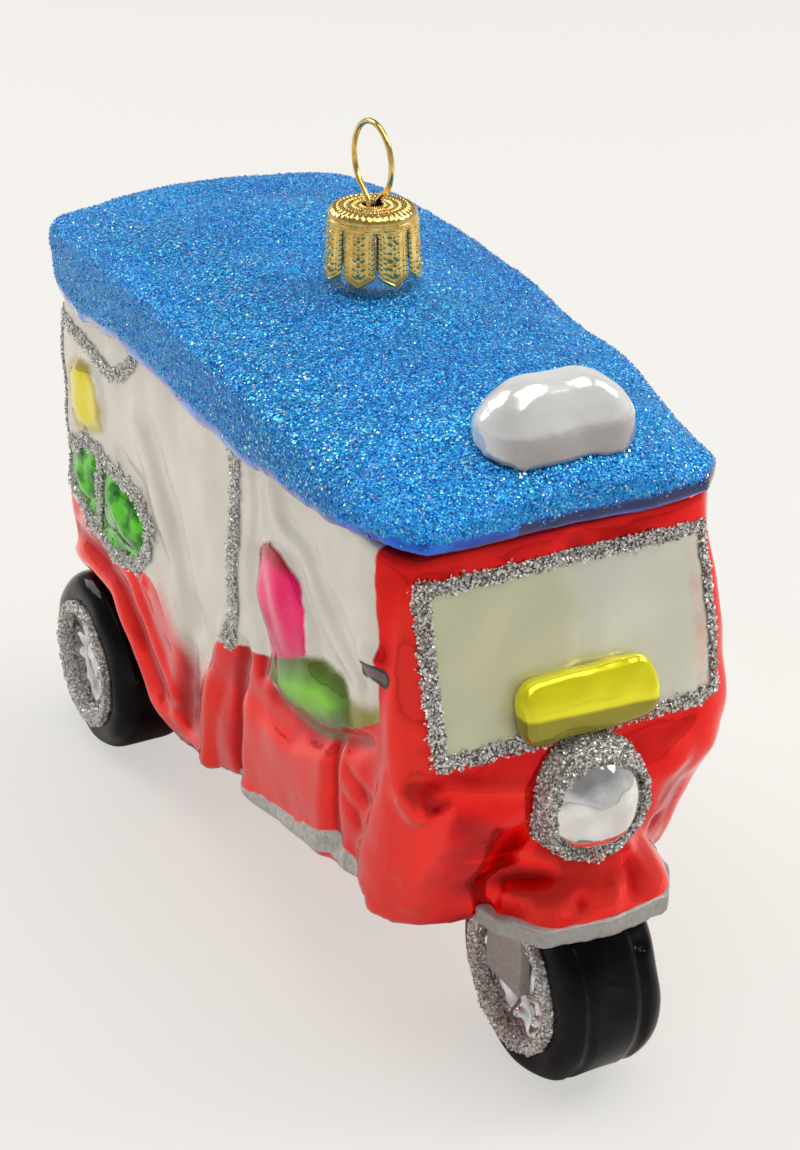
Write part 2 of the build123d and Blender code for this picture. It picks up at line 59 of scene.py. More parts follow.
MM = 0.001
SIDES = (("right", -1), ("left", 1))
RANDOM = np.random.default_rng(20)
OUTSIDE = -9.0  # well outside a zone, in a field of signed distances

# ---- camera ----

CAMERA_PLACE = Vector((274.0, -141.5, 203.3)) * MM
CAMERA_HEADING = math.radians(27.94)
CAMERA_DROP = math.radians(26.66)
CAMERA_ROLL = math.radians(-0.23)
PHOTO_HEIGHT = 1150
FOCAL_PIXELS = 2400.0
SENSOR = 36.0
CLIPS = (0.01, 20)  # metres


def make_camera():
    """Camera at the photograph's viewing angle, looking back and down at the ornament."""
    data = bpy.data.cameras.new("camera")
    data.sensor_width = SENSOR
    data.lens = FOCAL_PIXELS * SENSOR / PHOTO_HEIGHT
    data.clip_start, data.clip_end = CLIPS
    camera = new_object("camera", data)
    aside, ahead = math.sin(CAMERA_HEADING), math.cos(CAMERA_HEADING)
    level = math.cos(CAMERA_DROP)
    look = Vector((-ahead * level, aside * level, -math.sin(CAMERA_DROP)))
    right = Vector((aside, ahead, 0))
    up = right.cross(look)
    turn = Matrix.Rotation(CAMERA_ROLL, 3, look)
    right, up = turn @ right, turn @ up
    basis = Matrix((right, up, -look)).transposed()
    camera.matrix_world = Matrix.Translation(CAMERA_PLACE) @ basis.to_4x4()
    bpy.context.scene.camera = camera


# ---- mesh helpers ----


def new_object(name, data):
    piece = bpy.data.objects.new(name, data)
    bpy.context.scene.collection.objects.link(piece)
    return piece


def dressed(piece, paint, body, stood_for=()):
    """Give a piece its material, its body and the CAD nodes that it stands for."""
    material, slot = paint
    piece.data.materials.clear()
    piece.data.materials.append(material)
    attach(piece, body)
    if stood_for:
        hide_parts(*stood_for)
    return piece


def read_vectors(items, key):
    """One 3-D property of every vertex or face, as an array."""
    flat = np.empty(len(items) * 3, np.float32)
    items.foreach_get(key, flat)
    return flat.reshape(-1, 3)


def points_of(mesh):
    """Vertex places as an array, in millimetres."""
    return read_vectors(mesh.vertices, "co").astype(np.float64) / MM


def normals_of(mesh):
    return read_vectors(mesh.vertices, "normal").astype(np.float64)


def skin_of(mesh):
    return points_of(mesh), normals_of(mesh)


def set_points(mesh, points):
    mesh.vertices.foreach_set("co", (points * MM).astype(np.float32).ravel())
    mesh.update()


def push(mesh, lift):
    """Move each vertex along its normal, this far out."""
    places, normals = skin_of(mesh)
    set_points(mesh, places + normals * lift[:, None])


def joined_cad(name, nodes):
    """A new object that holds copies of these CAD nodes' meshes."""
    build = bmesh.new()
    for node in nodes:
        build.from_mesh(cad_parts[node].data)
    mesh = bpy.data.meshes.new(name)
    build.to_mesh(mesh)
    build.free()
    return new_object(name, mesh)


def applied(piece):
    """Replace a piece's mesh by the result of its modifiers."""
    graph = bpy.context.evaluated_depsgraph_get()
    mesh = bpy.data.meshes.new_from_object(piece.evaluated_get(graph))
    old = piece.data
    piece.modifiers.clear()
    piece.data = mesh
    mesh.name = piece.name
    bpy.data.meshes.remove(old)
    mesh.polygons.foreach_set("use_smooth", [True] * len(mesh.polygons))
    return piece


def softened(piece, rounds):
    smooth = piece.modifiers.new("soften", "SMOOTH")
    smooth.factor = 0.5
    smooth.iterations = rounds
    return applied(piece)


def blown(piece, voxel, rounds):
    """Fuse a piece into one skin and soften its corners as blown glass does."""
    remesh = piece.modifiers.new("fuse", "REMESH")
    remesh.mode = "VOXEL"
    remesh.voxel_size = voxel * MM
    remesh.adaptivity = 0
    return softened(piece, rounds)


def kept_inside(places, margin=0.03):
    """Hold places within the solid's own box, sideways and down to the floor."""
    low, high = (np.array(corner, float) / MM for corner in cad_box)
    low, high = low + margin, high - margin
    high[2] = np.inf
    return np.clip(places, low, high)


def hold_inside(mesh):
    set_points(mesh, kept_inside(points_of(mesh)))


def wobble(mesh, size, height, seed):
    """Low uneven swelling along the normals, as hand-blown glass has."""
    shift = Vector((seed * 17.3, seed * 5.1, seed * 9.7))
    lift = [noise.noise(Vector(place / size) + shift) for place in points_of(mesh)]
    push(mesh, np.array(lift) * height)


def along(places, path):
    """Distance from each place to a path of 2-D or 3-D points."""
    path = np.asarray(path, float)
    best = np.full(len(places), np.inf)
    for start, end in zip(path, path[1:]):
        run = end - start
        share = np.clip(((places - start) @ run) / (run @ run), 0, 1)
        gap = np.linalg.norm(places - start - share[:, None] * run, axis=1)
        best = np.minimum(best, gap)
    return best


def inside(places, corners):
    """Signed distance to a closed outline: above zero inside it."""
    corners = np.asarray(corners, float)
    loop = np.vstack([corners, corners[:1]])
    gap = along(places, loop)
    crossings = np.zeros(len(places), int)
    for (x0, y0), (x1, y1) in zip(loop, loop[1:]):
        if y0 == y1:
            continue
        between = (places[:, 1] >= min(y0, y1)) & (places[:, 1] < max(y0, y1))
        reach = x0 + (places[:, 1] - y0) * (x1 - x0) / (y1 - y0)
        crossings += between & (places[:, 0] < reach)
    return np.where(crossings % 2 == 1, gap, -gap)


def bell(gap, reach):
    """A smooth hump: 1 at no distance, 0 at the reach."""
    share = np.clip(1 - (gap / reach) ** 2, 0, 1)
    return share * share


def eased(share):
    share = np.clip(share, 0, 1)
    return share * share * (3 - 2 * share)


def set_fields(mesh, **fields):
    """Store numbers per vertex, for the materials to read."""
    for name, values in fields.items():
        field = mesh.attributes.new(name, "FLOAT", "POINT")
        field.data.foreach_set("value", values.astype(np.float32))


# ---- node helpers ----


class Nodes:
    """A few short words for building a material's node tree."""

    def __init__(self, name):
        self.material = bpy.data.materials.new(name)
        self.material.use_nodes = True
        self.tree = self.material.node_tree
        self.tree.nodes.clear()
        self.shader = self.tree.nodes.new("ShaderNodeBsdfPrincipled")
        self.output = self.tree.nodes.new("ShaderNodeOutputMaterial")
        self.put(self.output.inputs["Surface"], self.shader.outputs["BSDF"])

    def add(self, kind, inputs=None, **settings):
        """A new node with these settings, and with these values or links to its inputs."""
        node = self.tree.nodes.new("ShaderNode" + kind)
        for key, value in settings.items():
            setattr(node, key, value)
        for key, value in (inputs or {}).items():
            self.put(node.inputs[key], value)
        return node

    def put(self, socket, value):
        """Link an output to a socket, or set the socket's own value."""
        if isinstance(value, bpy.types.NodeSocket):
            self.tree.links.new(value, socket)
        else:
            socket.default_value = (*value, 1) if socket.type == "RGBA" else value

    def set(self, **values):
        for key, value in values.items():
            self.put(self.shader.inputs[key.replace("_", " ")], value)

    def pattern(self, kind, size, **inputs):
        """A texture whose features are about this many millimetres across."""
        place = self.add("TexCoord").outputs["Object"]
        return self.add(kind, {"Scale": 1 / (size * MM), "Vector": place, **inputs})

    def noise(self, size, detail):
        return self.pattern("TexNoise", size, Detail=detail).outputs["Fac"]

    def field(self, name):
        return self.add("Attribute", attribute_name=name).outputs["Fac"]

    def math(self, operation, first, second):
        return self.add("Math", {0: first, 1: second}, operation=operation).outputs[0]

    def plus(self, first, second):
        return self.math("ADD", first, second)

    def times(self, first, second):
        return self.math("MULTIPLY", first, second)

    def most(self, first, *others):
        for other in others:
            first = self.math("MAXIMUM", first, other)
        return first

    def drift(self, size, detail, reach):
        """Noise about zero, which makes the edge of a zone wander."""
        return self.times(self.math("SUBTRACT", self.noise(size, detail), 0.5), reach)

    def span(self, value, low, high, to_low=0.0, to_high=1.0):
        ends = {"From Min": low, "From Max": high, "To Min": to_low, "To Max": to_high}
        settings = {"clamp": True, "interpolation_type": "SMOOTHSTEP"}
        return self.add("MapRange", {"Value": value, **ends}, **settings).outputs["Result"]

    def cloud(self, size, detail, low, high, to_low=0.0, to_high=1.0):
        """Soft patches of about this size, from one value to another."""
        return self.span(self.noise(size, detail), low, high, to_low, to_high)

    def ramp(self, value, stops):
        node = self.add("ValToRGB", {0: value})
        elements = node.color_ramp.elements
        while len(elements) < len(stops):
            elements.new(0.5)
        for element, (place, colour) in zip(elements, stops):
            element.position = place
            element.color = (*colour, 1)
        return node.outputs["Color"]

    def mix(self, share, first, second):
        """A mix of two colours, through that node's sockets for colours."""
        inputs = {0: share, 6: first, 7: second}
        return self.add("Mix", inputs, data_type="RGBA").outputs[2]

    def blend(self, share, first, second):
        """A mix of two numbers."""
        return self.add("Mix", {0: share, 2: first, 3: second}, data_type="FLOAT").outputs[0]

    def bump(self, size, detail, depth, strength):
        """Shallow unevenness of the surface, this deep."""
        height = self.noise(size, detail)
        inputs = {"Strength": strength, "Distance": depth * MM, "Height": height}
        return self.add("Bump", inputs).outputs["Normal"]

    def tilted(self, colour, amount):
        """The surface normal, tipped a different way in each cell of a pattern."""

        def vector(operation, inputs):
            return self.add("VectorMath", inputs, operation=operation).outputs[0]

        offset = vector("SUBTRACT", {0: colour, 1: (0.5, 0.5, 0.5)})
        tip = vector("SCALE", {0: offset, "Scale": amount})
        normal = self.add("NewGeometry").outputs["Normal"]
        return vector("NORMALIZE", {0: vector("ADD", {0: normal, 1: tip})})




# ---- lacquers, glitter and metal ----

# Colours, linear
RED = (0.96, 0.010, 0.006)
# darker and lighter reds: painted shade and painted highlight, by the body's relief
RED_DARKEST_SHADE = (0.50, 0.001, 0.001)
RED_SHADED = (0.80, 0.004, 0.003)
RED_HIGHLIGHT = (1.0, 0.035, 0.022)
PEARLS = (0.88, 0.83, 0.73), (0.78, 0.73, 0.63)
PANES = (0.66, 0.65, 0.44), (0.76, 0.75, 0.62)
OLIVE = (0.36, 0.33, 0.07)
PINKS = (1.0, 0.002, 0.16), (0.80, 0.002, 0.13)
PINK_TIP = (0.40, 0.0, 0.02)
CUSHION_GREENS = (0.10, 0.34, 0.004), (0.25, 0.68, 0.008)
CUSHION_EDGE = (0.11, 0.15, 0.006)
WINDOW_GREENS = (0.02, 0.20, 0.01), (0.10, 0.62, 0.01)
YELLOWS = (0.50, 0.36, 0.002), (0.85, 0.74, 0.002)
SILL_GREYS = (0.46, 0.44, 0.41), (0.66, 0.64, 0.60)
GRIP_TONES = (0.045, 0.03, 0.03), (0.16, 0.12, 0.12)
GLUE_TONES = (0.60, 0.58, 0.56), (0.24, 0.19, 0.16)
RIM_BLUES = (0.004, 0.14, 0.80), (0.004, 0.04, 0.42)
RIM_GROOVE_SHADE = (0.002, 0.008, 0.10)
ROOF_SHADE = (0.001, 0.07, 0.45)

# Tones of single chips: share of them, colour
SILVER_TONES = (
    (0.0, (0.05, 0.04, 0.035)),
    (0.16, (0.28, 0.25, 0.22)),
    (0.35, (0.66, 0.63, 0.59)),
    (0.60, (0.95, 0.93, 0.88)),
    (1.0, (1.0, 0.98, 0.96)),
)
ROOF_DUST = (
    (0.0, (0.001, 0.06, 0.40)),
    (0.20, (0.002, 0.20, 0.75)),
    (0.50, (0.004, 0.36, 1.0)),
    (0.86, (0.01, 0.52, 1.0)),
    (0.955, (0.20, 0.80, 1.0)),
    (0.99, (0.55, 0.95, 1.0)),
    (1.0, (0.6, 0.10, 0.65)),
)
ROOF_TONES = (
    (0.0, (0.001, 0.05, 0.40)),
    (0.28, (0.002, 0.24, 0.85)),
    (0.70, (0.005, 0.50, 1.0)),
    (0.90, (0.10, 0.80, 1.0)),
    (0.97, (0.80, 1.0, 1.0)),
    (0.996, (0.80, 1.0, 1.0)),
    (1.0, (0.75, 0.05, 0.70)),
)

WINDOW_END = (-18.0, -16.0)  # x where the passenger's panes end and the cushion begins
TIP_START = (64.2, 66.4)  # z where the pink seat back turns dark


# Each maker of a lacquer gives it back with the slot that it fills


def chips(name, slot, stops, metallic, sharp, dull):
    """Foil chips, each in the tone that its "tone" field names."""
    n = Nodes(name)
    n.set(
        Base_Color=n.ramp(n.field("tone"), stops),
        Metallic=metallic,
        Roughness=n.cloud(0.5, 1, 0.3, 0.7, sharp, dull),
    )
    return n.material, slot


def body_paint():
    """All the lacquer zones of the one-piece glass body, from its painted fields, with painted
    shade and painted highlight in the red.
    """
    n = Nodes("body_paint")
    ragged = n.drift(2.4, 3, 0.7)
    cloudy = n.drift(4.0, 3, 0.5)

    def zone(name, reach, drift):
        return n.span(n.plus(n.field(name), drift), -reach, reach)

    airbrush = n.span(n.plus(n.field("blush"), cloudy), 0.0, 1.0)
    red = n.most(zone("red", 0.22, ragged), airbrush)
    pink = zone("pink", 0.3, ragged)
    green = zone("green", 0.6, ragged)
    yellow = zone("yellow", 0.8, ragged)
    pewter = zone("pewter", 0.2, n.times(ragged, 2.0))
    glue = zone("glue", 0.2, ragged)
    grip = n.field("grip")

    across = n.plus(n.field("across"), n.times(n.noise(9.0, 2), 6.0))
    pane = n.mix(n.span(across, 1.0, 6.0), *PANES)
    pearl = n.mix(n.cloud(14.0, 2, 0.3, 0.7), *PEARLS)
    pearl = n.mix(n.span(n.field("pane"), -0.5, 0.5), pearl, pane)
    pearl = n.mix(n.span(n.field("olive"), -0.6, 1.6), pearl, OLIVE)
    # painted shade and painted highlight: the red is darker in the hollows and lighter over the
    # ridges and the mudguard
    depth = n.plus(n.times(n.field("relief"), 1.4), n.drift(7.0, 3, 1.4))
    red_shade_stops = ((0.0, RED_DARKEST_SHADE), (0.36, RED_SHADED), (0.6, RED), (1.0, RED_HIGHLIGHT))
    shaded_red = n.ramp(n.span(depth, -1.0, 1.0), red_shade_stops)
    # the green cushion glows in its middle; the panes behind are mottled
    core = n.span(n.plus(n.field("green"), n.times(n.noise(3.0, 2), 2.0)), 1.4, 5.2)
    cushion = n.mix(n.span(n.field("green"), 2.2, 4.6), *CUSHION_GREENS)
    cushion = n.mix(core, CUSHION_EDGE, cushion)
    window = n.mix(n.cloud(3.2, 3, 0.4, 0.6), *WINDOW_GREENS)
    green_tone = n.mix(n.span(n.field("along"), *WINDOW_END), window, cushion)
    pink_tone = n.mix(n.cloud(4.0, 2, 0.42, 0.7), *PINKS)
    pink_tone = n.mix(n.span(n.field("level"), *TIP_START), pink_tone, PINK_TIP)
    # glue shows brown through the flakes round the windscreen, and pale on the walls
    by_pane = n.span(n.field("pane"), -4.0, -3.0)

    colour = pearl
    for share, tone in (
        (red, shaded_red),
        (green, green_tone),
        (pink, pink_tone),
        (yellow, n.mix(n.span(n.field("yellow"), 0.1, 2.4), *YELLOWS)),
        (pewter, n.mix(n.cloud(0.8, 3, 0.3, 0.7), *SILL_GREYS)),
        (n.span(grip, -0.15, 0.15), n.mix(n.span(grip, 0.3, 0.7), *GRIP_TONES)),
        (glue, n.mix(by_pane, *GLUE_TONES)),
    ):
        colour = n.mix(share, colour, tone)
    candy = n.most(red, green, yellow, pink)
    matt = n.most(pewter, glue)
    n.set(
        Base_Color=colour,
        Metallic=n.blend(matt, n.blend(candy, 0.3, 0.7), 0.2),
        Roughness=n.blend(matt, n.blend(candy, 0.3, 0.09), 0.5),
        Specular_IOR_Level=0.3,
        Coat_Weight=n.blend(matt, n.blend(candy, 0.25, 0.22), 0.0),
        Normal=n.bump(3.6, 2, 0.16, 0.6),
    )
    return n.material, "red_lacquer"


def roof_glitter():
    """Fine blue glitter on blue lacquer, bare and glossy along the lower rim, with a painted
    shadow in its front groove.
    """
    n = Nodes("roof_glitter")
    dust = n.pattern("TexVoronoi", 0.22).outputs["Color"]
    bare = n.span(n.plus(n.field("bare"), n.drift(1.2, 3, 1.6)), -0.3, 0.5)
    tone = n.add("SeparateColor", {0: dust}).outputs[0]
    patches = n.times(n.cloud(17.0, 2, 0.36, 0.64), 0.32)
    chips = n.mix(patches, n.ramp(tone, ROOF_DUST), ROOF_SHADE)
    rim = n.mix(n.cloud(4.0, 2, 0.35, 0.65), *RIM_BLUES)
    # the front groove gets a painted shadow
    rim = n.mix(n.span(n.field("groove"), -0.2, 0.6), rim, RIM_GROOVE_SHADE)
    n.set(
        Base_Color=n.mix(bare, chips, rim),
        Metallic=n.blend(bare, 0.3, 0.8),
        Roughness=n.blend(bare, 0.32, 0.12),
        Coat_Weight=n.blend(bare, 0.0, 1.0),
        Normal=n.tilted(dust, n.blend(bare, 1.3, 0.0)),
    )
    return n.material, "roof_lacquer"


def plain(name, slot, patches, tones, rough, bump, **others):
    """A material of two mottled tones, with uneven gloss and a shallow bump."""
    n = Nodes(name)
    n.set(
        Base_Color=n.mix(n.cloud(*patches), *tones),
        Roughness=n.cloud(*rough),
        Normal=n.bump(*bump),
        **others,
    )
    return n.material, slot


def mirror_glass(name, tint, rough):
    tones = (tint, tuple(c * 0.82 for c in tint))
    rough = (1.5, 2, 0.3, 0.7, rough * 0.7, rough * 1.5)
    surface = (3.0, 3, 0.35, 0.65), tones, rough, (2.2, 2, 0.10, 0.5)
    return plain(name, "silvered_glass", *surface, Metallic=0.95, Coat_Weight=0.6)


def two_tone(name, slot, shaded, lit, metallic, rough, reach):
    """Lacquer that shows lighter on the parts marked by the piece's own "lit" field."""
    n = Nodes(name)
    share = n.span(n.plus(n.field("lit"), n.drift(2.6, 3, reach)), -reach, reach)
    n.set(
        Base_Color=n.mix(share, shaded, lit),
        Metallic=metallic,
        Roughness=n.cloud(2.5, 2, 0.3, 0.7, rough * 0.8, rough * 1.3),
        Coat_Weight=0.5,
        Normal=n.bump(3.0, 2, 0.10, 0.6),
    )
    return n.material, slot


BLACK_GLOSS = plain(
    "black_gloss", "black_lacquer",
    (5.0, 3, 0.4, 0.7), ((0.0015, 0.0015, 0.002), (0.006, 0.006, 0.007)),
    (2.0, 3, 0.35, 0.7, 0.04, 0.12), (5.0, 2, 0.25, 0.6), Specular_IOR_Level=0.14,
)
GOLD_METAL = plain(
    "gold_metal", "gold_brass",
    (1.4, 3, 0.3, 0.7), ((0.95, 0.70, 0.24), (0.74, 0.47, 0.12)),
    (0.6, 3, 0.3, 0.7, 0.08, 0.18), (0.35, 2, 0.02, 0.5), Metallic=1.0,
)
PEWTER_PAINT = plain(
    "pewter_paint", "pewter_paint",
    (0.7, 4, 0.3, 0.7), ((0.40, 0.38, 0.35), (0.47, 0.45, 0.43)),
    (0.5, 3, 0.3, 0.7, 0.42, 0.65), (0.4, 4, 0.06, 0.8), Metallic=0.45,
)
# The clear glue the flakes are bedded in, greyish over the silvering
GLUE_PAINT = plain(
    "glitter_glue", "silver_glitter",
    (0.8, 3, 0.35, 0.65), ((0.56, 0.54, 0.51), (0.36, 0.34, 0.32)),
    (0.5, 2, 0.3, 0.7, 0.3, 0.5), (0.4, 3, 0.08, 0.8), Metallic=0.4,
)
SILVER_FLAKES = chips("silver_glitter", "silver_glitter", SILVER_TONES, 0.4, 0.2, 0.42)
ROOF_FLAKES = chips("roof_sparkle", "roof_lacquer", ROOF_TONES, 0.45, 0.12, 0.30)


# ---- the blown body ----

BODY_NODES = ["cabin_glass", "windscreen_glass", "front_frame_glass", "front_apron_glass"]
BODY_NODES += ["lower_body_glass", "belly_glass", "front_mudguard_glass"]
SIDE_NODES = ("driver_backrest", "driver_cushion", "passenger_backrest", "passenger_cushion_rear")
SIDE_NODES += ("passenger_cushion_front", "turn_lamp_glass", "handlebar_grip", "sill_line_trim")
BODY_NODES += [f"{node}_{side}" for side, _ in SIDES for node in SIDE_NODES]
# The lamp of the far cheek lies flush in the lacquer: the body skin alone stands for it
FLUSH_LAMP = "turn_lamp_glass_left"

SKIN_VOXEL = 0.72  # of the body and the roof
WALL_Y, SEAT_Y = 17, 19  # the side walls, and what is painted on them, lie farther out
FRONT_X = 46  # the windscreen and its frame lie ahead of this
SCREEN_HALF_WIDTH = 20.6
SCREEN_BOTTOM, SCREEN_TOP = 51.4, 73.6
LAMP_Z = 43.0
AXLE_X = 53.0
WHEEL_Z = 14.8

# Painted outlines on the side walls, x and z
BELT_LINE = (
    (-75, 41.6), (-58, 42.6), (-48, 42), (-38, 40.4), (-31, 41.6), (-23, 44.6), (-19, 43),
    (-14, 38.6), (-8.5, 37.6), (-5, 39.6), (-2, 42.6), (2, 45.4), (7, 46.4), (12, 47.6),
    (15.4, 48.2), (17.6, 45.6), (20, 44.8), (25, 45.4), (34, 46.4), (41, 50.6), (48.2, 55.4),
    (50, 57),
)
PILLAR_LINE = ((49.6, 40), (49.7, 51), (48.2, 59), (46.8, 68), (46, 74), (45.4, 84))
BACKREST = (
    (12.5, 62.6), (14.9, 65.6), (18.1, 67.2), (22.6, 67.4), (26.3, 65.2), (29.1, 62.2),
    (29.8, 58.2), (29.7, 56), (22.7, 52.3), (17, 49.6), (14.6, 53.4), (12.4, 56.7),
)
CUSHION = (
    (15.6, 49.1), (20.6, 52.2), (27.3, 55), (33.2, 57), (38.8, 57.2), (42.6, 55.8), (42.4, 52.1),
    (38.1, 47.5), (31.8, 44.9), (25.3, 44.4), (19.2, 45.2), (15.4, 46.6),
)
OLIVE_PANE = ((38, 47.6), (42, 56.4), (46.4, 57), (50.5, 60), (50.5, 54), (44, 50))
PASSENGER_BACK = (
    (-56.8, 65), (-54.6, 67.2), (-51.6, 68.4), (-46.6, 68.8), (-43.2, 67), (-42.3, 63), (-43, 59),
    (-48.4, 57), (-53.6, 56.2), (-55.6, 58.4), (-57.2, 61.7),
)
CUSHION_REAR = ((-58.6, 52), (-50.7, 54.6), (-45.2, 55), (-45.6, 42.6), (-50, 42.6), (-58.6, 45.4))
CUSHION_FRONT = (
    (-44.4, 54.6), (-36.2, 54.4), (-29.6, 53), (-26.6, 50.4), (-27.2, 46), (-31.1, 43),
    (-38.4, 41.4), (-44.6, 42),
)
GRIP = ((43.9, 60.9), (45.4, 61.6), (47.6, 61.9), (49, 61.7))
SILL_LINE = ((4.6, 22.7), (9.7, 23.3), (19.6, 25.6), (25.9, 26.8), (35.1, 30.2), (40.8, 29.8))
GRIP_HALF_WIDTH = 1.2
SILL_HALF_WIDTH = 1.6
SILL_DROP = 0.6

# Glitter lines: x and z along each, and y and z round the windscreen
RAIL_LOOP = (
    (-59.6, 51.6), (-50.7, 54.8), (-44.5, 55.2), (-36.2, 54.8), (-29.5, 53.7), (-25.4, 50.6),
    (-26.2, 45.7), (-31.1, 41.8), (-38.4, 40.4), (-43.1, 41.1), (-49.1, 42.1), (-53.8, 43.8),
    (-60.2, 45.6), (-59.6, 51.6),
)
RAIL_BAR = ((-44.6, 55), (-45, 50), (-45.4, 41.9))
HOOK_LINE = (
    (-62, 73.4), (-57, 72.7), (-50.2, 71.9), (-43.2, 70.7), (-38.5, 70.5), (-34, 71.9),
    (-30.6, 74.6), (-29, 77.4),
)
REAR_POST = ((-60.2, 73.5), (-60.2, 63.6), (-59.8, 58), (-59.4, 51.4))
SIDE_POST = ((6.2, 78.4), (5.5, 68), (4.9, 58.2), (4.4, 46.4))
SCREEN_LINE = ((-19.9, 52), (-20, 73.4), (20.6, 73), (20.6, 51.8), (-19.9, 52))
SIDE_LINES = (
    # start of the names of the piece and its CAD node, path, half width
    ("side_post", SIDE_POST, 1.35),
    ("rear_hook", HOOK_LINE, 1.0),
    ("rear_post", REAR_POST, 1.0),
    ("rear_rail", RAIL_LOOP, 1.0),
)

# Pressed ridges (above zero) and hollows (below zero) of the side walls:
# height, reach, then x and z along the stroke
SIDE_STROKES = (
    (1.3, 3, ((2.6, 46.5), (1, 43), (-3.2, 36), (-5.6, 28), (-6.6, 20.4))),
    (-1.5, 2.3, ((8.4, 46), (6.6, 41), (5.6, 37.4), (5, 30.6), (4.6, 23.5))),
    (-1.1, 4.4, ((-9, 43), (-12.3, 32), (-15, 23.6))),
    (0.7, 1.8, ((-4, 20), (-10, 20.6), (-20, 21.4))),
    (0.9, 2.4, ((-62.2, 31.5), (-52, 34.4), (-41, 33.4), (-33.4, 28), (-28, 20.6), (-22, 19.6))),
    (-0.7, 2, ((-57, 37.4), (-46, 37.8), (-37, 35.6), (-30.5, 30), (-24, 23.6))),
    (0.7, 1.8, ((-52.7, 41), (-42.2, 41), (-33, 38.4), (-27.5, 32.2), (-18.6, 25.4))),
    (0.7, 3.2, ((-30, 66), (-26, 62.4), (-19, 53.3), (-14.6, 45.5), (-8.5, 40))),
    (-0.7, 3, ((-24, 67), (-19.5, 61), (-13.5, 53.3), (-9.6, 46.5))),
    (-0.6, 2.6, ((-36, 58), (-28, 56), (-22.5, 50))),
    (0.5, 1.8, ((16.4, 77), (19.1, 70.3), (26.5, 68.8), (34.7, 61.6), (43, 57.6))),
    (-0.6, 1.8, ((20, 77), (21.6, 72), (28.5, 71), (37.7, 63.6), (45, 59.6))),
    (-0.5, 1.6, ((11.6, 77), (13.6, 70), (11.4, 62))),
    (-0.9, 2.2, ((10.8, 62), (11.6, 55), (14.4, 50), (14, 46))),
    (0.35, 3.6, ((20.6, 63), (24, 56))),
    (0.8, 4, ((23, 48.5), (33, 52), (40, 53.5))),
    (-0.6, 1.6, ((18, 44.2), (30, 44.4), (39, 47.8), (46, 51.6))),
    (-0.9, 1.4, ((37.2, 46.8), (36.6, 38.8), (36.2, 31.5))),
    (-0.6, 1.3, ((40.6, 45), (43.4, 44.2), (45.6, 42.4))),
    (-0.5, 1.2, ((39.8, 41), (42.4, 39.6), (43.4, 37.6))),
    (-0.6, 1.5, ((8.6, 38.6), (7.6, 31), (7.4, 25.4))),
    (1.3, 1.1, ((-28.3, 40.3), (-28, 40.3))),
    (0.5, 4, ((-50, 65), (-49.6, 60))),
    (0.5, 2.2, ((-52, 49), (-50, 47))),
    (0.6, 2.6, ((-38, 50), (-33, 48))),
)

# Parts of the side walls that stand proud of the rest: height, ramp, then the outline
SIDE_PLATEAUS = (
    (1.2, 2.6, (
        (6.4, 22), (6.2, 40.2), (20.4, 40.4), (25.1, 41), (36.6, 45.6), (35.8, 38.8), (35.1, 32),
        (34, 27.5),
    )),
    (0.5, 2.2, ((37, 28), (37.8, 46.4), (46.5, 50), (44, 43), (41, 34), (40, 28))),
    (0.9, 2.4, (
        (48.2, 79), (48.7, 72.6), (49.3, 59.2), (49.6, 50.9), (46.7, 43.5), (42.9, 33.9),
        (41.3, 24), (70, 24), (70, 79),
    )),
    (0.25, 3.4, (
        (11, 58), (15, 66.8), (19, 68.2), (24, 67.8), (31, 60), (30.6, 56), (21, 51.6), (15, 53),
    )),
)

# The same on the front, in 3-D: height, reach, then places; mirrored to the other side
FRONT_STROKES = (
    (-1, 1.7, ((56.5, -24, 51.6), (57.5, -22, 47.2), (58, -19.6, 47.6), (58.3, -17.8, 49.6))),
    (0.7, 2.2, ((57.6, -20.8, 50.4), (58.2, -17, 48.6), (58.4, -9.5, 46.6))),
    (-0.9, 1.9, (
        (53.5, -24.4, 75), (53.9, -24, 68), (54.8, -23.4, 61), (56, -22.8, 55), (57, -21.2, 51.4),
        (57.6, -15.5, 49.9),
    )),
    (0.7, 2.6, ((50.4, -24.6, 78), (51.6, -24.6, 66), (53, -24.6, 56), (53.6, -24, 48))),
    (0.6, 2.6, ((57.4, -20.6, 45.4), (55.6, -21.6, 41), (53.4, -22, 36), (51.6, -21.6, 30))),
    (-0.5, 3.4, ((58.2, -18, 43.6), (58, -14, 40), (57, -11, 36.6))),
    (-0.4, 4, ((55, -17, 38), (54, -15, 32))),
    (-1, 2.4, ((53.5, -13.5, 33), (56.5, -9.5, 33.6), (59, -6, 33.8))),
    (0.7, 1.6, ((58, -3, 34.6), (60, -5.4, 32), (60, -8, 29.6))),
    (-0.8, 1.1, ((58.4, -0.6, 35), (60.6, -1.8, 33), (62.4, -3.6, 31))),
    (0.6, 1.2, ((60, 1.2, 34.6), (62.4, 1.4, 32), (63.6, 1, 29.5))),
    (-0.7, 1.4, ((60.6, 4.2, 34), (62.6, 4.4, 31))),
    (-0.6, 1.8, ((56.5, -10.6, 29.6), (59.2, -8.4, 29.4), (61.6, -5.4, 29.2))),
    (0.6, 3.6, ((59, 9, 33), (60, 8, 29))),
)


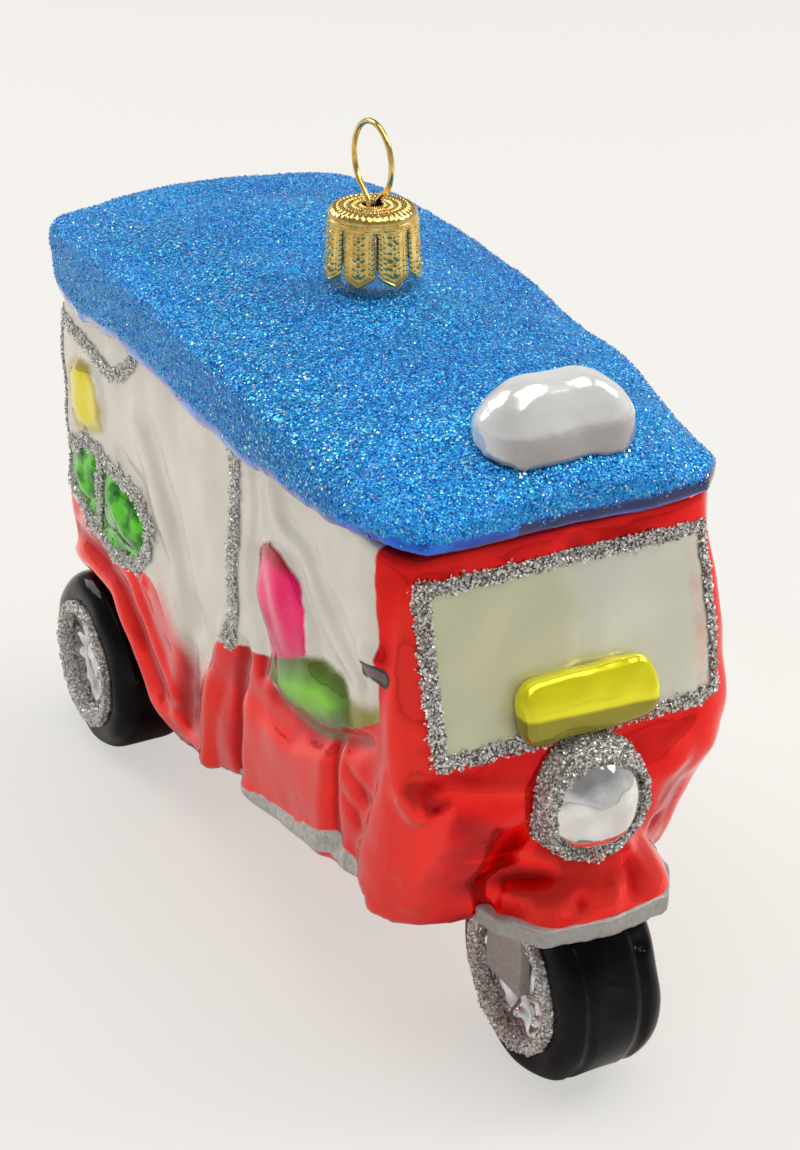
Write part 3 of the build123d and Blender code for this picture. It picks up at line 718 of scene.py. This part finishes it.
def body_relief(places, normals):
    """How far the skin swells or sinks at each place, from the strokes and plateaus."""
    x, y, z = places.T
    flat = places[:, [0, 2]]
    wall = np.clip((np.abs(normals[:, 1]) - 0.35) / 0.4, 0, 1) * (np.abs(y) > WALL_Y)
    lift = np.zeros(len(places))
    for height, reach, path in SIDE_STROKES:
        lift += height * bell(along(flat, path), reach) * wall
    for height, ramp, outline in SIDE_PLATEAUS:
        lift += height * eased(0.25 + inside(flat, outline) / ramp) * wall
    mirrored = places * (1, -1, 1)
    for height, reach, path in FRONT_STROKES:
        # the middle of the front is shaped from its own side only
        gap = np.minimum(along(places, path), along(mirrored, path) - OUTSIDE * (np.abs(y) < 12))
        lift += height * bell(gap, reach) * (x > 44)
    # the windscreen is creased down its middle
    lift -= 0.35 * bell(np.abs(y - 1.5), 3.0) * (x > 49.5) * (z > 52) * (z < 76)
    return lift


def make_body():
    shown = [name for name in BODY_NODES if name != FLUSH_LAMP]
    body = blown(joined_cad("glass_body", shown), SKIN_VOXEL, 6)
    mesh = body.data
    places, normals = skin_of(mesh)
    x, y, z = places.T
    lift = body_relief(places, normals)
    # the relief, lifted over the mudguard, drives the red's painted shade in the hollows and
    # painted highlight on the ridges
    tone = np.clip(lift, -1.2, 1.2) + 0.35 * (x > 56) * (z < 37)
    # it sinks around the headlamp's foot
    lift -= 1.3 * bell(np.hypot(y, z - LAMP_Z), 9.0) * (x > 57) * (z < 40)
    # the mudguard swells out as far as its painted lip, more on the left
    guard = np.clip((x - 54.5) / 2.0, 0, 1) * bell(z - 27.5, 7.5)
    lift += (1.1 + 0.7 * np.clip((y - 5) / 4, 0, 1)) * guard * (normals[:, 2] > -0.4)
    push(mesh, lift)
    set_fields(mesh, relief=tone)
    wobble(mesh, 11.0, 0.55, 3)
    wobble(mesh, 5.5, 0.32, 8)
    mesh = softened(body, 5).data
    hold_inside(mesh)
    paint_body(mesh)
    return dressed(body, body_paint(), "glass", BODY_NODES)


def paint_body(mesh):
    """Signed distances to the edge of each lacquer zone, above zero inside."""
    places, normals = skin_of(mesh)
    x, y, z = places.T
    flat = places[:, [0, 2]]
    far = OUTSIDE * (np.abs(y) < SEAT_Y)  # the seats and lines are on the walls alone

    def on_walls(*outlines):
        return np.maximum.reduce([inside(flat, outline) for outline in outlines]) + far

    below = np.interp(x, *zip(*BELT_LINE)) - z
    pillar_x, pillar_z = zip(*PILLAR_LINE)
    ahead = x - np.interp(z, pillar_z, pillar_x)
    # the red is sprayed on thinly over the middle of the wall
    thin = bell(np.abs(x + 13), 17)
    red = np.maximum(below - 7.0 * thin, ahead)
    screen = np.minimum(
        SCREEN_HALF_WIDTH - np.abs(y), np.minimum(z - SCREEN_BOTTOM, SCREEN_TOP - z)
    )
    red = np.where((x > FRONT_X) & (normals[:, 0] > 0.3), np.minimum(red, -screen), red)
    blush = np.clip((below + 3.0) / 11.0, 0, 1.0) * (0.25 + thin) * (x < 30)
    margin = bell(np.abs(y - 18.6), 2.6) * (x > FRONT_X) * (z > 52) * 0.34
    sill = along(flat + (0.0, -SILL_DROP), SILL_LINE)
    lines = [half + 0.1 - along(flat - (0.4, 0.0), path) for _, path, half in SIDE_LINES]
    round_screen = 0.8 - along(places[:, [1, 2]], SCREEN_LINE) + OUTSIDE * (x < FRONT_X)
    set_fields(
        mesh,
        red=red,
        blush=np.maximum(blush, margin) - 0.1,
        pink=on_walls(BACKREST),
        green=on_walls(CUSHION, CUSHION_REAR, CUSHION_FRONT),
        yellow=on_walls(PASSENGER_BACK),
        olive=on_walls(OLIVE_PANE),
        pane=np.where(x > FRONT_X, screen, OUTSIDE),
        across=y,
        level=z,
        along=x,
        pewter=SILL_HALF_WIDTH - sill + far,
        grip=GRIP_HALF_WIDTH - along(flat, GRIP) + far,
        glue=np.maximum(np.maximum.reduce(lines, initial=OUTSIDE) + far, round_screen),
    )


# ---- the roof ----

# Its lower edge along x: as in the solid, and as it waves on the ornament
ROOF_EDGE_X = (-63, -58, -51, -44.8, -38, -30, -21.5, -7.5, 5.7, 11.9, 24, 35.3, 43, 47.5, 52)
ROOF_BASE_Z = (
    79.5, 77.6, 78.4, 79.1, 79.4, 78.4, 77.6, 77.6, 78.1, 78.7, 79.6, 79.6, 78.5, 77.6, 77.6,
)
ROOF_EDGE_Z = (
    77.6, 78.1, 77, 76.5, 77.4, 78.3, 78.3, 77.3, 77.2, 76.4, 76.7, 76.8, 77.6, 78.1, 78,
)
ROOF_HALF_WIDTH = 26.0
ROOF_SWELL = 1.1
BARE_RIM = 1.9  # how far the glitter stops above the edge
GROOVE_Z = 79.4
NECK_CLEAR = 5.2


def roof_edge(x):
    return np.interp(x, ROOF_EDGE_X, ROOF_EDGE_Z)


def make_roof():
    roof = blown(joined_cad("roof_shell", ["roof_glass"]), SKIN_VOXEL, 10)
    mesh = roof.data
    places, normals = skin_of(mesh)
    x, y, z = places.T
    drop = roof_edge(x) - np.interp(x, ROOF_EDGE_X, ROOF_BASE_Z)
    places[:, 2] += drop * np.clip((85.0 - z) / 6.0, 0, 1)
    # the skin swells up around the neck and at the back, and dips behind the sign
    top = np.clip(normals[:, 2], 0, 1)
    lift = 1.0 * bell(np.hypot(x + 1, y), 13.0) * top
    lift -= 0.5 * bell(np.hypot(x - 20, (y + 6) * 0.7), 14.0) * top
    lift += 0.5 * bell(np.hypot(x + 36, (y - 2) * 0.6), 16.0) * top
    set_points(mesh, places + normals * lift[:, None])
    wobble(mesh, 12.0, 0.8, 5)
    wobble(mesh, 4.0, 0.16, 6)
    # its widest swellings are drawn in to the solid's own width
    places = points_of(mesh)
    width = np.abs(places[:, 1])
    over = np.clip(width - ROOF_HALF_WIDTH, 0, None)
    drawn_in = width - over + ROOF_SWELL * np.tanh(over / ROOF_SWELL)
    places[:, 1] = np.sign(places[:, 1]) * drawn_in
    set_points(mesh, kept_inside(places))
    places, normals = skin_of(mesh)
    x, y, z = places.T
    # a painted shadow along the front of the rim, where its groove lies in shade; the glitter
    # stays off it too
    groove = np.where((x > 48) & (y > -8), 1.0 - np.abs(z - GROOVE_Z), OUTSIDE)
    bare = roof_edge(x) + BARE_RIM - z + 2.0 * (normals[:, 2] < -0.3)
    set_fields(mesh, groove=groove, bare=np.maximum(bare, groove))
    return dressed(roof, roof_glitter(), "glass", ["roof_glass"])


# ---- small glass parts ----


def soft_copy(name, node, voxel, rounds, paint, swell=0.0, size=3.0):
    """One CAD piece of the glass, with its corners softened and its faces uneven."""
    piece = blown(joined_cad(name, [node]), voxel, rounds)
    if swell:
        wobble(piece.data, size, swell, len(name))
    hold_inside(piece.data)
    return dressed(piece, paint, "glass", [node])


# Where the front tyre's tread is grooved, how widely, and the dimple in its shoulder
TREAD_GROOVES = ((3.6, 0.9), (-4.2, 0.8))
TREAD_RADIUS = 11.5
DIMPLE = (64.5, 4.6, 23.5)
# x and z of the studs moulded round the front hub
HUB_STUDS = ((56.5, 9.0), (58.8, 10.4), (59.4, 13.4), (52.0, 7.6))


def make_wheels():
    mirror = mirror_glass("hub_mirror", (0.88, 0.87, 0.86), 0.05)

    def tyre(name, node, swell):
        return soft_copy(name, node, 0.5, 8, BLACK_GLOSS, swell, 6.0)

    def hub(end, side):
        name, node = f"{end}_hub_skin_{side}", f"{end}_hub_{side}"
        return soft_copy(name, node, 0.35, 4, mirror, 0.5, 2.2)

    mesh = tyre("front_tyre_skin", "front_tyre", 0.35).data
    places = points_of(mesh)
    tread = np.hypot(places[:, 0] - AXLE_X, places[:, 2] - WHEEL_Z) > TREAD_RADIUS
    lift = -0.45 * sum(bell(places[:, 1] - y, reach) for y, reach in TREAD_GROOVES) * tread
    lift -= 0.8 * bell(np.linalg.norm((places - DIMPLE) / (1.0, 1.0, 1.7), axis=1), 1.5)
    push(mesh, lift)
    for side, _ in SIDES:
        tyre(f"rear_tyre_skin_{side}", f"rear_tyre_{side}", 0.3)
        hub("rear", side)
        mesh = hub("front", side).data
        places, normals = skin_of(mesh)
        lift = 0.0
        for stud_x, stud_z in HUB_STUDS:
            gap = np.hypot(places[:, 0] - stud_x, places[:, 2] - stud_z)
            lift = lift + 0.9 * bell(gap, 1.3) - 1.0 * bell(gap, 0.5)
        push(mesh, lift * (np.abs(normals[:, 1]) > 0.6))


def make_sign():
    tones = (0.44, 0.40, 0.39), (0.92, 0.91, 0.88)
    glass = two_tone("sign_pearl", "pearl_lacquer", *tones, 0.3, 0.14, 0.5)
    sign = soft_copy("sign_skin", "roof_sign_glass", 0.45, 14, glass, 0.4, 5.0)
    normals = normals_of(sign.data)
    set_fields(sign.data, lit=(normals[:, 2] - 0.5 * normals[:, 0] + 0.22) * 1.6)


def make_plate():
    """The blank plate over the headlamp, swollen in front and lit from above."""
    tones = (0.34, 0.30, 0.004), (1.0, 0.93, 0.004)
    glass = two_tone("plate_yellow", "yellow_lacquer", *tones, 0.45, 0.15, 0.3)
    mesh = soft_copy("plate_skin", "dash_plate_glass", 0.35, 8, glass, 0.2).data
    places = points_of(mesh)
    x, y, z = places.T
    height = (z - z.mean()) / (np.ptp(z) / 2)
    places[:, 0] += 0.9 * bell(height - 0.05, 0.95) * (x > x.mean())
    set_points(mesh, places)
    set_fields(mesh, lit=(height + 0.12 + 0.012 * y) * 4.0)


# The fork's plates show longer and farther back than the solids, from their tops down
FORK_X = 52.2
FORK_LONGER = 1.85
FORK_TALLER = 1.25


def make_forks():
    for side, _ in SIDES:
        name, node = f"fork_skin_{side}", f"fork_plate_{side}"
        mesh = soft_copy(name, node, 0.3, 4, PEWTER_PAINT, 0.15).data
        places = points_of(mesh)
        places[:, 0] = FORK_X + (places[:, 0] - AXLE_X) * FORK_LONGER
        top = places[:, 2].max()
        places[:, 2] = top - (top - places[:, 2]) * FORK_TALLER
        set_points(mesh, places)


# ---- glitter ----

# Mean edge of a flake, and flakes to the square millimetre
FLAKE, SCREEN_FLAKE, RING_FLAKE, FINE_CHIP, SHEEN_CHIP = 0.32, 0.31, 0.30, 0.21, 0.32
DENSITY, RING_DENSITY, FINE_DENSITY, SHEEN_DENSITY = 34, 30, 8.6, 3.0
RING_OUT = 10.25  # the glitter rings on the wheels reach no farther than this


def unit(vectors):
    return vectors / np.linalg.norm(vectors, axis=1)[:, None]


def flakes(name, spots, size, tilt, paint, nodes=(), dullest=0.0):
    """Thin square chips at the scattered spots, each turned and tipped its own way."""
    places, normals = spots
    places = kept_inside(places, size)
    count = len(places)
    tipped = unit(normals + RANDOM.normal(0, tilt, (count, 3)))
    helper = np.where(np.abs(tipped[:, :1]) < 0.8, (1.0, 0, 0), (0, 1.0, 0))
    first = unit(np.cross(tipped, helper))
    second = np.cross(tipped, first)
    turn = RANDOM.uniform(0, np.pi, count)[:, None]
    cos, sin = np.cos(turn), np.sin(turn)
    first, second = first * cos + second * sin, second * cos - first * sin
    half = (size * RANDOM.uniform(0.55, 1.3, count) / 2)[:, None]
    stretch = RANDOM.uniform(0.6, 1.0, count)[:, None]
    first, second = first * half, second * half * stretch
    corners = [places + first * i + second * j for i, j in ((1, 1), (-1, 1), (-1, -1), (1, -1))]
    mesh = bpy.data.meshes.new(name)
    mesh.vertices.add(count * 4)
    set_points(mesh, np.stack(corners, axis=1).reshape(-1, 3))
    mesh.loops.add(count * 4)
    mesh.loops.foreach_set("vertex_index", np.arange(count * 4, dtype=np.int32))
    mesh.polygons.add(count)
    mesh.polygons.foreach_set("loop_start", np.arange(0, count * 4, 4, dtype=np.int32))
    mesh.update(calc_edges=True)
    set_fields(mesh, tone=np.repeat(RANDOM.uniform(dullest, 1, count), 4))
    dressed(new_object(name, mesh), paint, "glass", nodes)


def scattered(mesh, weight_of, density, lift):
    """Random places on a mesh, as many as the density times each face's weight.

    The lift is the least and the most that a place stands off the mesh.
    """
    centres = read_vectors(mesh.polygons, "center") / MM
    normals = read_vectors(mesh.polygons, "normal")
    areas = np.empty(len(centres), np.float32)
    mesh.polygons.foreach_get("area", areas)
    weight = weight_of(centres, normals)
    many = RANDOM.poisson(areas / MM**2 * density * weight)
    which = np.repeat(np.arange(len(centres)), many)
    spread = np.sqrt(areas[which] / MM**2)[:, None]
    jitter = RANDOM.uniform(-0.6, 0.6, (len(which), 3)) * spread
    facing = normals[which]
    jitter -= facing * np.sum(jitter * facing, axis=1)[:, None]
    places = centres[which] + jitter
    return places + facing * RANDOM.uniform(*lift, len(places))[:, None], facing


def band_weight(gap, half):
    """1 inside a band, falling off raggedly over its edge."""
    return np.clip((half - gap) / 0.3 + 0.5, 0, 1)


def make_side_lines(body_mesh):
    for line, path, half in SIDE_LINES:
        for side, out in SIDES:

            def weight(centres, normals):
                flat = centres[:, [0, 2]]
                gap = along(flat, path)
                if path is RAIL_LOOP:
                    gap = np.minimum(gap, along(flat, RAIL_BAR))
                ragged = RANDOM.normal(0, 0.16, len(gap))
                return band_weight(gap + ragged, half) * (centres[:, 1] * out > 15)

            spots = scattered(body_mesh, weight, DENSITY, (0.05, 0.42))
            name, node = f"{line}_flakes_{side}", f"{line}_glitter_{side}"
            flakes(name, spots, FLAKE, 0.5, SILVER_FLAKES, [node], 0.26)


def make_front_glitter(body_mesh):
    """The frame of the windscreen, and the drip of glitter under the headlamp."""

    def screen(centres, normals):
        x, y, _ = centres.T
        gap = along(centres[:, [1, 2]], SCREEN_LINE)
        # narrow on the left side, wide on the right, and between the two elsewhere
        half = np.where(y > 19.0, 0.5, np.where(y < -18.8, 1.2, 0.85))
        weight = band_weight(gap + RANDOM.normal(0, 0.10, len(gap)), half)
        return weight * (x > FRONT_X) * (normals[:, 0] > 0.05)

    def foot(centres, normals):
        x, y, z = centres.T
        radius = np.hypot(y, z - LAMP_Z) + RANDOM.normal(0, 0.12, len(centres))
        return ((x > 55) & (z < LAMP_Z) & (radius < 7.5)).astype(float)

    spots = scattered(body_mesh, screen, DENSITY, (0.03, 0.40))
    node = "windscreen_glitter_frame"
    flakes("windscreen_flakes", spots, SCREEN_FLAKE, 0.5, SILVER_FLAKES, [node])
    spots = scattered(body_mesh, foot, DENSITY, (0.2, 1.0))
    flakes("headlamp_foot_flakes", spots, FLAKE, 0.5, SILVER_FLAKES)


def make_ring(name, node, axle_x, dullest):
    """One ring of flakes on its bed of glue; on a wheel it is drawn in to the rim."""
    base = blown(joined_cad(name.replace("flakes", "glue"), [node]), 0.35, 6)
    if axle_x is not None:
        places = points_of(base.data)
        away = (places - (axle_x, 0.0, WHEEL_Z)) * (1, 0, 1)
        radius = np.linalg.norm(away, axis=1)[:, None]
        set_points(base.data, places - away * np.clip(1 - RING_OUT / radius, 0, 1))
    wobble(base.data, 1.2, 0.3, 2)
    hold_inside(base.data)
    dressed(base, GLUE_PAINT, "glass", [node])

    def evenly(centres, _):
        return np.ones(len(centres))

    spots = scattered(base.data, evenly, RING_DENSITY, (0.0, 0.22))
    flakes(name, spots, RING_FLAKE, 0.45, SILVER_FLAKES, dullest=dullest)


def make_rings():
    make_ring("headlamp_flakes", "headlamp_glitter_ring", None, 0.0)
    for side, _ in SIDES:
        for end, axle_x in (("front", AXLE_X), ("rear", -AXLE_X)):
            name, node = f"{end}_wheel_flakes_{side}", f"{end}_wheel_glitter_{side}"
            make_ring(name, node, axle_x, 0.3)


def make_roof_sparkle(roof_mesh):
    """Chips over the roof's glitter, with larger, flatter ones in light tones in two sweeps, as a
    painted sheen.
    """

    def covered(centres, normals):
        x, y, z = centres.T
        edge = roof_edge(x) + 2.0 + RANDOM.normal(0, 0.45, len(centres))
        shown = (normals[:, 2] > -0.1) & (z > edge)
        return (shown & (np.hypot(x + 1, y) > NECK_CLEAR)).astype(float)

    def sheen_zones(centres, normals):
        # painted sheen: over the front, and along the right flank
        front = bell(np.hypot((centres[:, 0] - 42) / 13, (centres[:, 1] - 1) / 22), 1.0)
        flank = bell(along(centres[:, :2], ((-44, -19), (-20, -15), (2, -21), (30, -22))), 9.0)
        return covered(centres, normals) * np.maximum(front, flank)

    spots = scattered(roof_mesh, covered, FINE_DENSITY, (0.0, 0.14))
    flakes("roof_flakes", spots, FINE_CHIP, 0.30, ROOF_FLAKES)
    spots = scattered(roof_mesh, sheen_zones, SHEEN_DENSITY, (0.06, 0.2))
    flakes("roof_sheen_flakes", spots, SHEEN_CHIP, 0.14, ROOF_FLAKES, dullest=0.66)


# ---- stamped cap and wire ----

CAP_X, CAP_TOP, CAP_HEIGHT, CAP_RADIUS = -1.0, 103.5, 9.8, 6.5
CAP_SHEET, CAP_HOLE = 0.22, 1.5
SKIRT_RADIUS = CAP_RADIUS - 0.4  # where the petals leave the shoulder
SHOULDER = 1.3
SHOULDER_SHARE = 0.3  # of the rings from the petals to the hole
PETALS, PETAL_COLUMNS, PETAL_ROWS = 8, 32, 72
PETAL_GAP = 0.034  # radians between a petal's edge and the middle of its slot
SLOT_START, SLOT_FULL = 0.14, 0.22  # shares of the way down
POINT_DEPTH = 1.5
TOP_TURNS, TOP_RINGS = 200, 40
ROPE_STRANDS, ROPE_ROUNDS = 40, 3.0
FLOWERS = (0.20, 0.47, 0.74)  # shares of the way down a petal
BEADS = (0.335, 0.605)


def hump(gap, reach):
    return math.exp(-((gap / reach) ** 2))


def petal_relief(across, down):
    """Pattern of one petal: two rows of border beads, and a column of flowers and beads."""
    border = min(1 - abs(across), min(down + 0.05, 1 - down) * 3.2)
    bead = 0.5 + 0.5 * math.cos(down * 66)
    lift = 0.24 * hump(border - 0.13, 0.08) * (0.3 + 0.7 * bead)
    lift += 0.13 * hump(border - 0.34, 0.07) * (0.45 + 0.55 * (1 - bead))
    aside = across * 0.28
    for centre in FLOWERS:
        below = down - centre
        radius = math.hypot(aside, below)
        leaf = math.cos(2 * math.atan2(below, aside) + math.pi / 2) ** 2
        lift += 0.32 * hump(radius, 0.035)
        lift += 0.16 * leaf * hump(radius - 0.085, 0.035)
    for centre in BEADS:
        lift += 0.26 * hump(math.hypot(aside, down - centre), 0.028)
    return lift


def cap_vertex(build, radius, angle, z):
    x, y = radius * math.cos(angle), radius * math.sin(angle)
    return build.verts.new(((CAP_X + x) * MM, y * MM, z * MM))


def add_petal(build, middle):
    """One embossed petal of the skirt, pointed at its foot, around this angle."""
    foot = CAP_TOP - CAP_HEIGHT
    grid = []
    for row in range(PETAL_ROWS + 1):
        down = row / PETAL_ROWS
        opened = min(1, max(0, (down - SLOT_START) / (SLOT_FULL - SLOT_START)))
        line = []
        for column in range(PETAL_COLUMNS + 1):
            across = column / PETAL_COLUMNS * 2 - 1
            tip = foot + POINT_DEPTH * abs(across) ** 1.1
            z = CAP_TOP - SHOULDER - down * (CAP_TOP - SHOULDER - tip)
            angle = middle + across * (math.pi / PETALS - PETAL_GAP * opened)
            flute = (0.16 * (1 - across * across) - 0.12) * min(1, down * 6)
            emboss = petal_relief(across, down) * min(1, down * 9)
            line.append(cap_vertex(build, SKIRT_RADIUS + 0.4 * down + flute + emboss, angle, z))
        grid.append(line)
    for a, b in zip(grid, grid[1:]):
        for i in range(PETAL_COLUMNS):
            build.faces.new((a[i], b[i], b[i + 1], a[i + 1]))


def add_top(build):
    """The rounded shoulder and the flat top, roped in rounds up to the wire's hole."""
    shoulder_radius = SKIRT_RADIUS - SHOULDER
    grid = []
    for ring in range(TOP_RINGS + 1):
        share = ring / TOP_RINGS
        line = []
        for turn in range(TOP_TURNS):
            angle = 2 * math.pi * turn / TOP_TURNS
            if share < SHOULDER_SHARE:
                bend = share / SHOULDER_SHARE * math.pi / 2
                radius = shoulder_radius + SHOULDER * math.cos(bend)
                z = CAP_TOP - SHOULDER + SHOULDER * math.sin(bend)
                rope = 0.09 * math.sin(ROPE_STRANDS * angle) * math.sin(bend) ** 2
            else:
                inward = (share - SHOULDER_SHARE) / (1 - SHOULDER_SHARE)
                radius = shoulder_radius - inward * (shoulder_radius - CAP_HOLE)
                z = CAP_TOP
                cord = 0.5 + 0.5 * math.cos(inward * 2 * math.pi * ROPE_ROUNDS)
                strand = math.sin(ROPE_STRANDS * angle + inward * 14)
                rope = 0.26 * cord * (0.45 + 0.55 * strand) - 0.05
            line.append(cap_vertex(build, radius, angle, z + rope))
        grid.append(line)
    for a, b in zip(grid, grid[1:]):
        for i in range(TOP_TURNS):
            j = (i + 1) % TOP_TURNS
            build.faces.new((a[i], a[j], b[j], b[i]))


def make_cap():
    """Stamped cap: eight embossed petals hanging from a roped, rounded top."""
    build = bmesh.new()
    for number in range(PETALS):
        add_petal(build, 2 * math.pi / PETALS * number)
    add_top(build)
    bmesh.ops.remove_doubles(build, verts=build.verts, dist=0.02 * MM)
    bmesh.ops.recalc_face_normals(build, faces=build.faces)
    mesh = bpy.data.meshes.new("stamped_cap")
    build.to_mesh(mesh)
    build.free()
    cap = new_object("stamped_cap", mesh)
    thick = cap.modifiers.new("sheet", "SOLIDIFY")
    thick.thickness = CAP_SHEET * MM
    thick.offset = -1
    dressed(applied(cap), GOLD_METAL, "cap", ["gold_cap"])


WIRE_RADIUS = 0.40
LOOP_CENTRE_Z, LOOP_RADIUS = 109.9, 4.95
LOOP_START, LOOP_SWEEP = math.radians(-66), math.radians(312)
LOOP_STEPS = 26
STRAND_APART = 0.42
# The leg from its foot in the neck up to the hole in the cap; the other one mirrors it
LEG = ((-2.1, 0.0, 84.6), (-1.6, 0.0, 92.0), (-0.7, 0.3, 99.0), (0.15, 0.42, 102.8))
LEG += ((0.7, 0.42, 104.2),)


def make_wire():
    """One bent wire: two legs in the neck, crossing in the cap's hole, and the loop."""
    points = list(LEG)
    for step in range(LOOP_STEPS + 1):
        share = step / LOOP_STEPS
        angle = LOOP_START + share * LOOP_SWEEP
        x, z = LOOP_RADIUS * math.cos(angle), LOOP_CENTRE_Z + LOOP_RADIUS * math.sin(angle)
        points.append((x, STRAND_APART * (1 - 2 * share), z))
    points += [(-x, -y, z) for x, y, z in reversed(LEG)]
    curve = bpy.data.curves.new("hanging_wire", "CURVE")
    curve.dimensions = "3D"
    curve.bevel_depth = WIRE_RADIUS * MM
    curve.bevel_resolution = 5
    curve.resolution_u = 8
    curve.use_fill_caps = True
    spline = curve.splines.new("NURBS")
    spline.points.add(len(points) - 1)
    for point, (x, y, z) in zip(spline.points, points):
        point.co = ((x + CAP_X) * MM, y * MM, z * MM, 1)
    spline.order_u = 3
    spline.use_endpoint_u = True
    dressed(new_object("hanging_wire", curve), GOLD_METAL, "hanger", ["hanger_wire"])


# ---- stage ----

FLOOR_REACH = 3.0  # metres
FLOOR_COLOURS = ((0.82, 0.80, 0.765), (0.84, 0.82, 0.785))
FLOOR_GLOW = (0.95, 0.93, 0.885)
FLOOR_GLOW_SHARE = 0.6
ROOM_COLOUR = (0.97, 0.98, 1.0, 1)
# Strength of the room's light, by the upward part of its direction
ROOM_LIGHT = (("From Min", 0.0), ("From Max", 0.55), ("To Min", 0.66), ("To Max", 0.24))
LAMPS = (
    # name, place, aim, width and height in metres, watts, colour
    ("ceiling", (0.1, 0.15, 1.3), (0.1, 0.1, 0), (1.3, 1.1), 9.5, (1.0, 0.99, 0.97)),
    ("key", (0.25, 0.95, 0.85), (0, 0, 0.05), (0.6, 0.45), 5.5, (1.0, 0.98, 0.95)),
    ("window", (-0.75, -0.35, 0.55), (0, 0, 0.05), (0.35, 0.5), 2.6, (1, 1, 1)),
)


def make_floor():
    mesh = bpy.data.meshes.new("floor")
    corners = ((-1, -1), (1, -1), (1, 1), (-1, 1))
    mesh.from_pydata([(x * FLOOR_REACH, y * FLOOR_REACH, 0) for x, y in corners], [], [range(4)])
    floor = new_object("floor", mesh)
    n = Nodes("pale_floor")
    n.set(Base_Color=n.mix(n.noise(60.0, 2), *FLOOR_COLOURS), Roughness=0.6)
    mesh.materials.append(n.material)
    # what the camera sees of the floor is lifted a little, as in a photographer's tent
    glow = n.add("Emission", {"Color": FLOOR_GLOW}).outputs[0]
    share = n.times(n.add("LightPath").outputs["Is Camera Ray"], FLOOR_GLOW_SHARE)
    mixed = n.add("MixShader", {0: share, 1: n.shader.outputs[0], 2: glow})
    n.put(n.output.inputs["Surface"], mixed.outputs[0])


def make_room():
    """A pale room, lighter round the horizon than overhead."""
    world = bpy.data.worlds.new("studio")
    bpy.context.scene.world = world
    world.use_nodes = True
    tree = world.node_tree
    back = tree.nodes["Background"]
    back.inputs["Color"].default_value = ROOM_COLOUR
    split = tree.nodes.new("ShaderNodeSeparateXYZ")
    tree.links.new(tree.nodes.new("ShaderNodeTexCoord").outputs["Generated"], split.inputs[0])
    level = tree.nodes.new("ShaderNodeMapRange")
    tree.links.new(split.outputs["Z"], level.inputs["Value"])
    for socket, value in ROOM_LIGHT:
        level.inputs[socket].default_value = value
    tree.links.new(level.outputs["Result"], back.inputs["Strength"])


def make_lamp(name, place, aim, size, power, colour):
    data = bpy.data.lights.new(name, "AREA")
    data.shape = "RECTANGLE"
    data.size, data.size_y = size
    data.energy = power
    data.color = colour
    lamp = new_object(name, data)
    lamp.location = place
    lamp.rotation_euler = (Vector(aim) - Vector(place)).to_track_quat("-Z", "Y").to_euler()


def main():
    bpy.context.scene.view_settings.view_transform = "Standard"
    make_camera()
    make_floor()
    make_room()
    for lamp in LAMPS:
        make_lamp(*lamp)
    body = make_body()
    roof = make_roof()
    make_wheels()
    make_sign()
    make_plate()
    lamp_glass = mirror_glass("lamp_mirror", (0.90, 0.88, 0.85), 0.07)
    soft_copy("headlamp_skin", "headlamp_glass", 0.35, 8, lamp_glass, 0.2)
    soft_copy("mudguard_lip_skin", "mudguard_lip_trim", 0.35, 6, PEWTER_PAINT, 0.25, 2.5)
    neck_glass = mirror_glass("neck_mirror", (0.86, 0.85, 0.83), 0.06)
    soft_copy("neck_skin", "neck_glass", 0.35, 2, neck_glass)
    make_forks()
    make_side_lines(body.data)
    make_front_glitter(body.data)
    make_rings()
    make_roof_sparkle(roof.data)
    make_cap()
    make_wire()


main()
